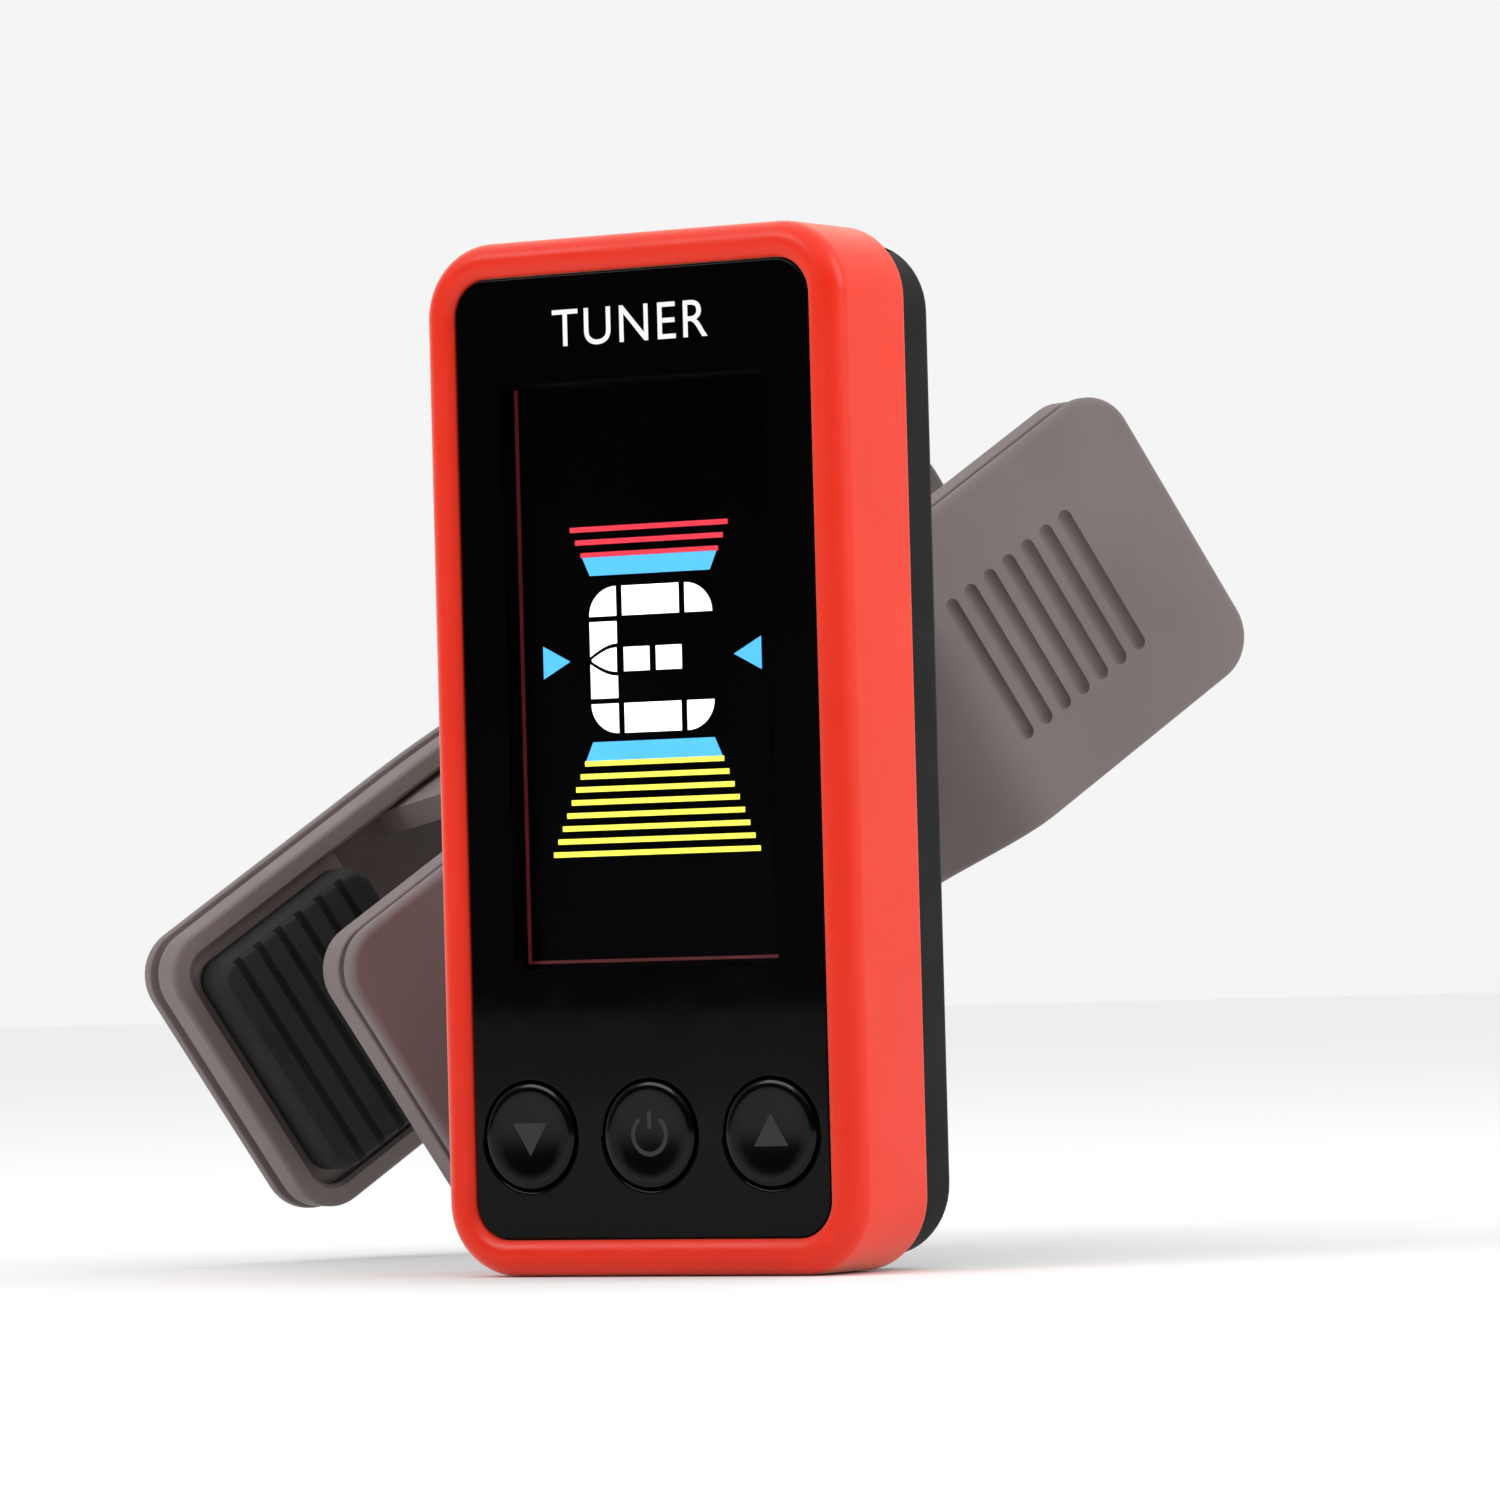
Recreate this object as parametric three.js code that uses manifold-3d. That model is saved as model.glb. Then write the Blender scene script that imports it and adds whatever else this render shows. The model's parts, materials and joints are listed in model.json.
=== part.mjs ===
// Clip-on tuner for an instrument's headstock: a slim display on a two-axis swivel, and a spring clip.
// Millimetres, +Z up. The display faces -Y. The origin is the centre of the front jaw pad's gripping face.
import * as THREE from 'three';
import { mergeVertices } from 'three/addons/utils/BufferGeometryUtils.js';
import Module from 'manifold-3d';

// Display case. Depths are counted from the bezel's front face, towards the back.
const CASE_WIDTH = 28.4;
const CASE_HEIGHT = 60;
const CASE_CORNER = 4.3;
const FRAME_WIDTH = 2.1;
const BEZEL_DEPTH = 7.6;
const CASE_DEPTH = 11.6;
const WALL = 1.4;
const GAP = 0.3;
const REAR_INSET = 0.7;
const REAR_CORNER = 4.2;
const FRONT_BEVEL = 0.6;
const REAR_BEVEL = 0.5;

// Lens and the display behind it.
const LENS_FRONT = 0.35;
const LENS_BACK = 1.65;
const LEDGE_BACK = 3;
const LCD_WIDTH = 20.6;
const LCD_HEIGHT = 36;
const LCD_CENTRE_Z = 4.7;

// Buttons, in a row below the display.
const BUTTON_RADIUS = 3.1;
const BUTTON_PITCH = 8.2;
const BUTTON_Z = -21.9;

// Case screws and the coin cell.
const SCREW_X = 9.4;
const SCREW_Z = [25, -16.6];
const SEAT_RADIUS = 2.6;
const CELL_RADIUS = 10;
const CELL_THICKNESS = 3.2;
const CELL_Z = 12.5;
const DOOR_BOTTOM_Z = 1.5;
const DOOR_HALF_WIDTH = 10.6;

// Tilt hinge, whose axis is vertical at rest.
const HINGE_DEPTH = 14.9;
const HINGE_Z = -9.3;
const EAR_RADIUS = 3.1;
const EAR_INNER = 3.6;
const EAR_OUTER = 6.6;
const HINGE_HOLE = 1.4;
const KNUCKLE_RADIUS = 2.9;
const KNUCKLE_HALF = 2.5;
const POST_HEIGHT = 12;
const STUB_RADIUS = 2.3;

// Clip. Along it, x runs from the swivel post towards the jaw's tip and z stands out of its front face.
const CLIP_TURN = 61.5;
const CLIP_DROP = 33.6;
const CLIP_WIDTH = 20.2;
const JAW_TIP = 18.5;
const LEVER_END = -44;
const REAR_LEVER_END = -40.5;
const CLIP_CORNER = 3;
const SHEET = 1.8;
const RIM = 1.5;
const ARM_DEPTH = 4.2;
const PIVOT_X = -9;
const PIVOT_Z = -14;
const CHEEK_RADIUS = 4.4;
const PIN_RADIUS = 1.5;
const PAD_START = 4.1;
const PAD_END = 16.5;
const PAD_WIDTH = 15.6;
const PAD_PROUD = 2.5;
const JAW_GAP = 15.5;

// The front lever stands out beyond the jaw, and the rear lever slopes towards it.
const LEVER_RISE = 4.5;
const BEND_START = -16;
const BEND_END = -25.5;
const REAR_LEVER_RISE = 11;
const REAR_BEND_X = -6;
const REAR_BEND_HALF = 4;
const BOSS_RADIUS = 7.6;

const PAD_CENTRE = (PAD_START + PAD_END) / 2;
const PAD_FACE = -(ARM_DEPTH + PAD_PROUD);
const REAR_PAD_FACE = PAD_FACE - JAW_GAP;
const REAR_RIM = REAR_PAD_FACE - PAD_PROUD;
const REAR_OUTER = REAR_RIM - ARM_DEPTH;
const STUB_END = -(LEVER_RISE + SHEET + 0.1);
const DOOR_FRONT = CASE_DEPTH - WALL + 0.1;
const CELL_BACK = DOOR_FRONT - GAP;
const CELL_FRONT = CELL_BACK - CELL_THICKNESS;

const wasm = await Module();
wasm.setup();

// Solids

function solid(geometry) {
  const bare = geometry.clone();
  bare.deleteAttribute('normal');
  bare.deleteAttribute('uv');
  const merged = mergeVertices(bare.index ? bare.toNonIndexed() : bare, 1e-5);
  return new wasm.Manifold(new wasm.Mesh({
    numProp: 3,
    vertProperties: new Float32Array(merged.attributes.position.array),
    triVerts: new Uint32Array(merged.index.array),
  }));
}

function geometryOf(manifold) {
  const mesh = manifold.getMesh();
  const geometry = new THREE.BufferGeometry();
  geometry.setAttribute('position', new THREE.BufferAttribute(mesh.vertProperties, 3));
  geometry.setIndex(new THREE.BufferAttribute(mesh.triVerts, 1));
  return geometry;
}

function join(...geometries) {
  return geometryOf(geometries.map(solid).reduce((sum, next) => sum.add(next)));
}

function cut(base, ...tools) {
  return geometryOf(tools.map(solid).reduce((rest, tool) => rest.subtract(tool), solid(base)));
}

function common(a, b) {
  return geometryOf(solid(a).intersect(solid(b)));
}

// Shapes

function roundedRect(width, height, radius, x = 0, y = 0) {
  const shape = new THREE.Shape();
  const [left, right, bottom, top] = [x - width / 2, x + width / 2, y - height / 2, y + height / 2];
  shape.moveTo(left + radius, bottom);
  shape.lineTo(right - radius, bottom);
  shape.absarc(right - radius, bottom + radius, radius, -Math.PI / 2, 0);
  shape.lineTo(right, top - radius);
  shape.absarc(right - radius, top - radius, radius, 0, Math.PI / 2);
  shape.lineTo(left + radius, top);
  shape.absarc(left + radius, top - radius, radius, Math.PI / 2, Math.PI);
  shape.lineTo(left, bottom + radius);
  shape.absarc(left + radius, bottom + radius, radius, Math.PI, Math.PI * 1.5);
  return shape;
}

// An outline drawn in x and z, made solid from y = front to y = back.
function slab(shape, front, back, bevel = 0) {
  const geometry = new THREE.ExtrudeGeometry(shape, {
    depth: back - front - 2 * bevel,
    curveSegments: 6,
    bevelEnabled: bevel > 0,
    bevelThickness: bevel,
    bevelSize: bevel,
    bevelOffset: -bevel,
    bevelSegments: 2,
  });
  return geometry.translate(0, 0, bevel - back).rotateX(Math.PI / 2);
}

// An outline drawn in x and y, made solid from z = low to z = high.
function plate(shape, low, high) {
  const geometry = new THREE.ExtrudeGeometry(shape, {
    depth: high - low,
    curveSegments: 6,
    bevelEnabled: false,
  });
  return geometry.translate(0, 0, low);
}

function block(x0, x1, y0, y1, z0, z1) {
  const geometry = new THREE.BoxGeometry(x1 - x0, y1 - y0, z1 - z0);
  return geometry.translate((x0 + x1) / 2, (y0 + y1) / 2, (z0 + z1) / 2);
}

// A round bar along y.
function rodY(radius, y0, y1, x = 0, z = 0, sides = 28) {
  const geometry = new THREE.CylinderGeometry(radius, radius, y1 - y0, sides);
  return geometry.translate(x, (y0 + y1) / 2, z);
}

// A round bar along z.
function rodZ(radius, z0, z1, x = 0, y = 0, sides = 28) {
  const geometry = new THREE.CylinderGeometry(radius, radius, z1 - z0, sides);
  return geometry.rotateX(Math.PI / 2).translate(x, y, (z0 + z1) / 2);
}

const SIDES = [-1, 1];
const SCREW_PLACES = SCREW_Z.flatMap((z) => SIDES.map((side) => [side * SCREW_X, z]));

// Display case

function bezel() {
  const window = [CASE_WIDTH - 2 * FRAME_WIDTH, CASE_HEIGHT - 2 * FRAME_WIDTH];
  const shell = cut(
    slab(roundedRect(CASE_WIDTH, CASE_HEIGHT, CASE_CORNER), 0, BEZEL_DEPTH, FRONT_BEVEL),
    slab(roundedRect(window[0], window[1], 2), -1, LENS_BACK + GAP),
    slab(roundedRect(window[0] - 1.1, window[1] - 1, 1.6), 1, LEDGE_BACK + 0.5),
    slab(roundedRect(CASE_WIDTH - 3.4, CASE_HEIGHT - 3.4, 2.8), LEDGE_BACK, BEZEL_DEPTH + 1),
  );
  const bosses = SCREW_PLACES.map(([x, z]) => rodY(1.6, LEDGE_BACK - 0.5, 6.4, x, z, 20));
  const webs = SCREW_PLACES.map(([x, z]) => {
    const reach = [x, Math.sign(x) * (CASE_WIDTH / 2 - 1)].sort((a, b) => a - b);
    return block(reach[0], reach[1], LEDGE_BACK - 0.5, 4.4, z - 0.6, z + 0.6);
  });
  const holes = SCREW_PLACES.map(([x, z]) => rodY(1.2, LEDGE_BACK + 0.3, 7, x, z, 20));
  return cut(join(shell, ...bosses, ...webs), ...holes);
}

function buttonPlaces() {
  return [-BUTTON_PITCH, 0, BUTTON_PITCH];
}

function lens() {
  const width = CASE_WIDTH - 2 * FRAME_WIDTH - GAP;
  const height = CASE_HEIGHT - 2 * FRAME_WIDTH - GAP;
  const holes = buttonPlaces().map((x) => rodY(BUTTON_RADIUS + GAP, -1, 3, x, BUTTON_Z, 32));
  return cut(slab(roundedRect(width, height, 1.9), LENS_FRONT, LENS_BACK), ...holes);
}

function lcdLayer(front, back) {
  return slab(roundedRect(LCD_WIDTH, LCD_HEIGHT, 0.4, 0, LCD_CENTRE_Z), front, back);
}

function button() {
  const profile = [
    [0, 0.1], [BUTTON_RADIUS - 0.4, 0.1], [BUTTON_RADIUS, 0.4], [BUTTON_RADIUS, 2.8], [0, 2.8],
  ];
  return new THREE.LatheGeometry(profile.map(([r, y]) => new THREE.Vector2(r, y)), 32);
}

function keypad() {
  const domes = buttonPlaces().map((x) => rodY(2, 3.45, 4.2, x, BUTTON_Z, 20));
  return join(slab(roundedRect(22.6, 6.6, 1, 0, BUTTON_Z), 3.9, 4.4), ...domes);
}

function circuitBoard() {
  const notches = SCREW_PLACES.map(([x, z]) => {
    const reach = [Math.sign(x) * 7.4, Math.sign(x) * 14].sort((a, b) => a - b);
    const top = z > 20 ? CASE_HEIGHT / 2 : z + 2.2;
    return block(reach[0], reach[1], 4, 6, z - 2.2, top);
  });
  return cut(slab(roundedRect(24, 55, 2), 4.7, 5.5), ...notches);
}

function rearHousing() {
  const [width, height] = [CASE_WIDTH - 2 * REAR_INSET, CASE_HEIGHT - 2 * REAR_INSET];
  const front = BEZEL_DEPTH + GAP;
  const inner = CASE_DEPTH - WALL;
  const outer = slab(roundedRect(width, height, REAR_CORNER), front - 1.5, CASE_DEPTH, REAR_BEVEL);
  const tray = cut(
    join(
      common(outer, block(-20, 20, front, 20, -40, 40)),
      slab(roundedRect(24.5, 56, 2.5), front - 1, front + 0.5),
    ),
    slab(roundedRect(CASE_WIDTH - 5.4, CASE_HEIGHT - 5.4, 2.1), front - 2, inner),
  );
  const seats = SCREW_PLACES.map(([x, z]) => rodY(SEAT_RADIUS, 6.7, inner - 0.2, x, z, 24));
  const ears = SIDES.flatMap((side) => {
    const ends = [HINGE_Z + side * EAR_INNER, HINGE_Z + side * EAR_OUTER].sort((a, b) => a - b);
    return [
      block(-EAR_RADIUS, EAR_RADIUS, CASE_DEPTH - 0.5, HINGE_DEPTH, ends[0], ends[1]),
      rodZ(EAR_RADIUS, ends[0], ends[1], 0, HINGE_DEPTH),
    ];
  });
  const screwHoles = SCREW_PLACES.flatMap(([x, z]) => [
    rodY(1.2, 6, 9, x, z, 20),
    rodY(2.2, 7.9, CASE_DEPTH + 1, x, z, 24),
  ]);
  return cut(
    join(tray, ...seats, ...ears),
    ...screwHoles,
    rodZ(HINGE_HOLE, HINGE_Z - 8, HINGE_Z + 8, 0, HINGE_DEPTH, 24),
    block(-DOOR_HALF_WIDTH - 0.9, DOOR_HALF_WIDTH + 0.9, inner - 0.21, CASE_DEPTH - 0.5, DOOR_BOTTOM_Z, 40),
    block(-DOOR_HALF_WIDTH, DOOR_HALF_WIDTH, inner - 0.21, 20, DOOR_BOTTOM_Z, 40),
  );
}

function batteryDoor() {
  const half = DOOR_HALF_WIDTH - GAP;
  const top = CASE_HEIGHT / 2 - REAR_INSET;
  const cover = join(
    block(-half - 0.9, half + 0.9, DOOR_FRONT, CASE_DEPTH - 0.5 - GAP, DOOR_BOTTOM_Z + GAP, top - 1),
    block(-half, half, DOOR_FRONT, CASE_DEPTH, DOOR_BOTTOM_Z + GAP, top),
  );
  const grips = [0, 1, 2, 3].map((i) => {
    const z = 20 + 1.4 * i;
    return block(-4, 4, CASE_DEPTH - 0.3, CASE_DEPTH + 1, z - 0.35, z + 0.35);
  });
  return cut(cover, ...grips);
}

function coinCell() {
  return join(
    rodY(CELL_RADIUS - 1.2, CELL_FRONT, CELL_FRONT + 0.6, 0, CELL_Z, 40),
    rodY(CELL_RADIUS, CELL_FRONT + 0.4, CELL_BACK, 0, CELL_Z, 48),
  );
}

function positiveContact() {
  const side = CELL_RADIUS + 0.35;
  return join(
    block(side, side + 0.3, 5.8, 9.2, CELL_Z - 3.5, CELL_Z + 3.5),
    block(side - 2, side + 0.3, 5.8, 6.1, CELL_Z - 1.5, CELL_Z + 1.5),
  );
}

function caseScrew() {
  return cut(
    join(rodY(1.9, 8.2, 9.3, 0, 0, 20), rodY(0.9, 3.7, 8.5, 0, 0, 14)),
    block(-1.2, 1.2, 8.8, 10, -0.25, 0.25),
    block(-0.25, 0.25, 8.8, 10, -1.2, 1.2),
  );
}

// Swivel: here z is the clip's outward normal and y is the tilt hinge's axis.

function swivelPost() {
  const profile = [
    [0, STUB_END], [STUB_RADIUS, STUB_END], [STUB_RADIUS, GAP], [6.5, GAP], [6.5, 1.8], [6, 2.3],
    [4.6, 2.3], [3.6, 4], [3, 6.5], [0, 6.5],
  ].map(([r, z]) => new THREE.Vector2(r, z));
  const turned = new THREE.LatheGeometry(profile, 32).rotateX(Math.PI / 2);
  return cut(
    join(
      turned,
      block(-KNUCKLE_RADIUS, KNUCKLE_RADIUS, -KNUCKLE_HALF, KNUCKLE_HALF, 5.5, POST_HEIGHT),
      rodY(KNUCKLE_RADIUS, -KNUCKLE_HALF, KNUCKLE_HALF, 0, POST_HEIGHT),
    ),
    rodY(HINGE_HOLE, -5, 5, 0, POST_HEIGHT, 24),
    rodZ(1.25, -10, 5, 0, 0, 20),
  );
}

function swivelWasher() {
  const top = STUB_END - GAP;
  return cut(rodZ(3.4, top - 0.5, top), rodZ(1.3, -10, 0, 0, 0, 20));
}

function swivelScrew() {
  const top = STUB_END - 0.5 - 2 * GAP;
  return cut(
    join(rodZ(2.6, top - 1.1, top), rodZ(0.95, top - 0.5, 4.6, 0, 0, 16)),
    block(-1.6, 1.6, -0.3, 0.3, top - 2, top - 0.6),
    block(-0.3, 0.3, -1.6, 1.6, top - 2, top - 0.6),
  );
}

function hingePin() {
  return join(
    rodY(1.1, -8.4, 6.7, 0, POST_HEIGHT, 20),
    rodY(2, EAR_OUTER + GAP - 0.2, EAR_OUTER + 1.5, 0, POST_HEIGHT, 24),
  );
}

function hingeNut() {
  return cut(
    rodY(2.3, -EAR_OUTER - 1.9, -EAR_OUTER - GAP, 0, POST_HEIGHT, 6),
    rodY(1.4, -10, -5, 0, POST_HEIGHT, 20),
  );
}

function frictionWasher(side) {
  const [near, far] = [KNUCKLE_HALF + GAP, EAR_INNER - GAP].map((y) => y * side).sort((a, b) => a - b);
  return cut(
    rodY(KNUCKLE_RADIUS, near, far, 0, POST_HEIGHT),
    rodY(HINGE_HOLE, -5, 5, 0, POST_HEIGHT, 20),
  );
}

// Clip

function clipOutline(inset, end) {
  const [length, width] = [JAW_TIP - end - 2 * inset, CLIP_WIDTH - 2 * inset];
  return roundedRect(length, width, CLIP_CORNER - inset * 0.6, (JAW_TIP + end) / 2, 0);
}

// How far the front arm's lever stands out at x: none at the jaw, all of it past the bend.
function frontLift(x) {
  const t = THREE.MathUtils.clamp((BEND_START - x) / (BEND_START - BEND_END), 0, 1);
  return LEVER_RISE * t * t * (3 - 2 * t);
}

// How far the rear arm's lever slopes towards the front one at x, with a soft start.
function rearLift(x) {
  const slope = REAR_LEVER_RISE / (REAR_BEND_X - REAR_LEVER_END);
  const past = REAR_BEND_X + REAR_BEND_HALF - x;
  if (past <= 0) {
    return 0;
  }
  return past < 2 * REAR_BEND_HALF
    ? (slope * past * past) / (4 * REAR_BEND_HALF)
    : slope * (REAR_BEND_X - x);
}

// A strip of the clip's side view between two heights, which follows the given lift.
function sideStrip(low, high, lift) {
  const stops = [JAW_TIP + 1];
  for (let x = REAR_BEND_X + REAR_BEND_HALF; x > BEND_END; x -= 1.5) {
    stops.push(x);
  }
  stops.push(BEND_END, LEVER_END - 1);
  const shape = new THREE.Shape();
  stops.forEach((x, i) => (i ? shape.lineTo(x, high + lift(x)) : shape.moveTo(x, high)));
  stops.reverse().forEach((x) => shape.lineTo(x, low + lift(x)));
  return slab(shape, -CLIP_WIDTH, CLIP_WIDTH);
}

// A tray whose plate and rim follow the lift. Its outer face is at outer, and its rim points to rim.
function bentTray(outer, rim, end, lift) {
  const way = Math.sign(rim - outer);
  const [low, high] = [outer, rim].sort((a, b) => a - b);
  const [hollowLow, hollowHigh] = [outer + way * SHEET, rim + way].sort((a, b) => a - b);
  return cut(
    common(sideStrip(low, high, lift), plate(clipOutline(0, end), -50, 50)),
    common(sideStrip(hollowLow, hollowHigh, lift), plate(clipOutline(RIM, end), -50, 50)),
  );
}

// A cheek that reaches from an arm to the pivot pin, drawn from the side.
function cheek(radius, rootZ, rootStart, rootEnd) {
  const turn = rootZ > PIVOT_Z ? 1 : -1;
  const shape = new THREE.Shape();
  shape.moveTo(rootStart, rootZ);
  shape.lineTo(PIVOT_X - radius, PIVOT_Z);
  shape.absarc(PIVOT_X, PIVOT_Z, radius, Math.PI, 0, turn < 0);
  shape.lineTo(rootEnd, rootZ);
  return shape;
}

function orderedSide(side, inner, outer) {
  return [side * inner, side * outer].sort((a, b) => a - b);
}

function frontArm() {
  const outer = CLIP_WIDTH / 2;
  const seat = block(PAD_START - 0.2, JAW_TIP - 1, 1 - outer, outer - 1, -3.2, -SHEET + 0.5);
  const cheeks = SIDES.map((side) => {
    const [y0, y1] = orderedSide(side, outer - RIM, outer);
    return slab(cheek(CHEEK_RADIUS, -3.5, PIVOT_X - 6.5, PIVOT_X + 10), y0, y1);
  });
  return cut(
    join(
      bentTray(0, -ARM_DEPTH, LEVER_END, frontLift),
      seat,
      ...cheeks,
      rodZ(BOSS_RADIUS, -SHEET / 2, LEVER_RISE, 0, 0, 36),
    ),
    rodY(PIN_RADIUS + GAP, -20, 20, PIVOT_X, PIVOT_Z, 24),
    rodZ(STUB_RADIUS + GAP, -5, LEVER_RISE + 1),
  );
}

function rearArm() {
  const outer = CLIP_WIDTH / 2;
  const seat = block(
    PAD_START - 0.2, JAW_TIP - 1, 1 - outer, outer - 1, REAR_OUTER + SHEET - 0.5, REAR_OUTER + 3.2,
  );
  const cheekOuter = outer - RIM - GAP;
  const cheeks = SIDES.flatMap((side) => {
    const [y0, y1] = orderedSide(side, cheekOuter - 1.6, cheekOuter);
    return [
      slab(cheek(4.2, REAR_OUTER + 3, PIVOT_X - 8, PIVOT_X + 9), y0, y1),
      block(PIVOT_X - 3, PIVOT_X + 9, y0, y1, REAR_OUTER + SHEET - 0.4, REAR_OUTER + 3.2),
    ];
  });
  return cut(
    join(bentTray(REAR_OUTER, REAR_RIM, REAR_LEVER_END, rearLift), seat, ...cheeks),
    rodY(PIN_RADIUS + GAP, -20, 20, PIVOT_X, PIVOT_Z, 24),
  );
}

function pad(face, root) {
  const [low, high] = [face, root].sort((a, b) => a - b);
  const outline = roundedRect(PAD_END - PAD_START, PAD_WIDTH, 1.5, PAD_CENTRE, 0);
  return plate(outline, low, high);
}

function pivotPin() {
  const reach = CLIP_WIDTH / 2 + GAP;
  return join(
    rodY(PIN_RADIUS, -reach - 0.5, reach + 0.5, PIVOT_X, PIVOT_Z, 24),
    rodY(2.6, reach, reach + 0.9, PIVOT_X, PIVOT_Z, 24),
    rodY(2.3, -reach - 0.9, -reach, PIVOT_X, PIVOT_Z, 24),
  );
}

// Coil round the pivot pin, with one leg under each lever.
function torsionSpring() {
  const [mean, wire, turns, half, perTurn] = [2.9, 0.45, 5, 3, 12];
  const start = Math.PI * 0.62;
  const sweep = turns * 2 * Math.PI + Math.PI * 0.76;
  const points = [new THREE.Vector3(PIVOT_X - 17, half, 0.9), new THREE.Vector3(PIVOT_X - 8, half, -5.6)];
  const steps = Math.round((sweep / (2 * Math.PI)) * perTurn);
  for (let i = 0; i <= steps; i += 1) {
    const angle = start - (sweep * i) / steps;
    const y = half - (2 * half * i) / steps;
    points.push(new THREE.Vector3(
      PIVOT_X + mean * Math.cos(angle), y, PIVOT_Z + mean * Math.sin(angle),
    ));
  }
  points.push(new THREE.Vector3(PIVOT_X - 8, -half, -19.2));
  points.push(new THREE.Vector3(PIVOT_X - 15, -half, -20.6));
  const section = new THREE.Shape().absarc(0, 0, wire, 0, 2 * Math.PI);
  return new THREE.ExtrudeGeometry(section, {
    steps: 110,
    curveSegments: 4,
    extrudePath: new THREE.CatmullRomCurve3(points, false, 'centripetal'),
  });
}

// Materials

function finish(color, roughness, metalness = 0) {
  return new THREE.MeshStandardMaterial({ color, roughness, metalness });
}

const MATERIALS = {
  red: finish(0xe2351f, 0.35),
  lens: finish(0x050506, 0.06),
  screen: finish(0x16325a, 0.2),
  light: finish(0xe8e8e2, 0.4),
  button: finish(0x0c0c0d, 0.18),
  silicone: finish(0x8a8d90, 0.7),
  board: finish(0x1d5a34, 0.45),
  chip: finish(0x141416, 0.5),
  black: finish(0x1b1a1b, 0.55),
  arm: finish(0x4e494a, 0.6),
  rubber: finish(0x161616, 0.85),
  steel: finish(0xb8bbbf, 0.3, 1),
  brass: finish(0xc9a24a, 0.35, 1),
};

function piece(name, geometry, material, x = 0, y = 0, z = 0) {
  const mesh = new THREE.Mesh(geometry, MATERIALS[material]);
  mesh.name = name;
  mesh.position.set(x, y, z);
  return mesh;
}

// Assembly

const radians = THREE.MathUtils.degToRad;
const outward = new THREE.Vector3(Math.sin(radians(CLIP_TURN)), -Math.cos(radians(CLIP_TURN)), 0);
const level = new THREE.Vector3(-Math.cos(radians(CLIP_TURN)), -Math.sin(radians(CLIP_TURN)), 0);
const upright = new THREE.Vector3(0, 0, 1);
const along = level.clone().multiplyScalar(Math.cos(radians(CLIP_DROP)))
  .addScaledVector(upright, -Math.sin(radians(CLIP_DROP)));
const across = outward.clone().cross(along);

const clip = new THREE.Group();
clip.quaternion.setFromRotationMatrix(new THREE.Matrix4().makeBasis(along, across, outward));
clip.position.addScaledVector(along, -PAD_CENTRE).addScaledVector(outward, -PAD_FACE);
clip.add(
  piece('front_arm', frontArm(), 'arm'),
  piece('front_pad', pad(PAD_FACE, -3.5), 'rubber'),
  piece('pivot_pin', pivotPin(), 'steel'),
  piece('torsion_spring', torsionSpring(), 'steel'),
  piece('rear_arm', rearArm(), 'arm'),
  piece('rear_pad', pad(REAR_PAD_FACE, REAR_OUTER + 3.5), 'rubber'),
);

const swivel = new THREE.Group();
const turned = new THREE.Matrix4().makeBasis(upright.clone().cross(outward), upright, outward);
swivel.quaternion.setFromRotationMatrix(turned);
swivel.position.copy(clip.position).addScaledVector(outward, LEVER_RISE);
swivel.add(
  piece('swivel_post', swivelPost(), 'black'),
  piece('swivel_washer', swivelWasher(), 'steel'),
  piece('swivel_screw', swivelScrew(), 'steel'),
  piece('hinge_pin', hingePin(), 'steel'),
  piece('hinge_nut', hingeNut(), 'steel'),
  piece('friction_washer_upper', frictionWasher(1), 'steel'),
  piece('friction_washer_lower', frictionWasher(-1), 'steel'),
);

const display = new THREE.Group();
display.position.copy(swivel.position).addScaledVector(outward, POST_HEIGHT);
display.position.add(new THREE.Vector3(0, -HINGE_DEPTH, -HINGE_Z));
display.add(
  piece('bezel', bezel(), 'red'),
  piece('lens', lens(), 'lens'),
  piece('lcd_panel', lcdLayer(LENS_BACK + 0.4, LEDGE_BACK + 0.05), 'screen'),
  piece('backlight', lcdLayer(3.4, 4.3), 'light'),
  piece('down_button', button(), 'button', -BUTTON_PITCH, 0, BUTTON_Z),
  piece('power_button', button(), 'button', 0, 0, BUTTON_Z),
  piece('up_button', button(), 'button', BUTTON_PITCH, 0, BUTTON_Z),
  piece('keypad', keypad(), 'silicone'),
  piece('circuit_board', circuitBoard(), 'board'),
  piece('processor_chip', block(-3, 3, 5.8, 6.8, -9, -3), 'chip'),
  piece('piezo_sensor', rodY(6, 9.2, 9.5, 0, -20), 'brass'),
  piece('negative_contact', block(-3, 3, 5.8, 6.1, CELL_Z - 6.5, CELL_Z + 6.5), 'steel'),
  piece('positive_contact', positiveContact(), 'steel'),
  piece('coin_cell', coinCell(), 'steel'),
  piece('rear_housing', rearHousing(), 'black'),
  piece('battery_door', batteryDoor(), 'black'),
);
SCREW_PLACES.forEach(([x, z], i) => {
  display.add(piece(`housing_screw_${i + 1}`, caseScrew(), 'steel', x, 0, z));
});

const tuner = new THREE.Group();
tuner.add(clip, swivel, display);

export default tuner;
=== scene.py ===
"""Looks of the clip-on tuner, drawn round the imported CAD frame.

Lengths inside the drawing functions are millimetres in the local frame of the display, the swivel or the
clip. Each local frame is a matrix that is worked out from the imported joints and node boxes.
"""
import json
import math

import bmesh
import bpy
from mathutils import Matrix, Vector


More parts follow.
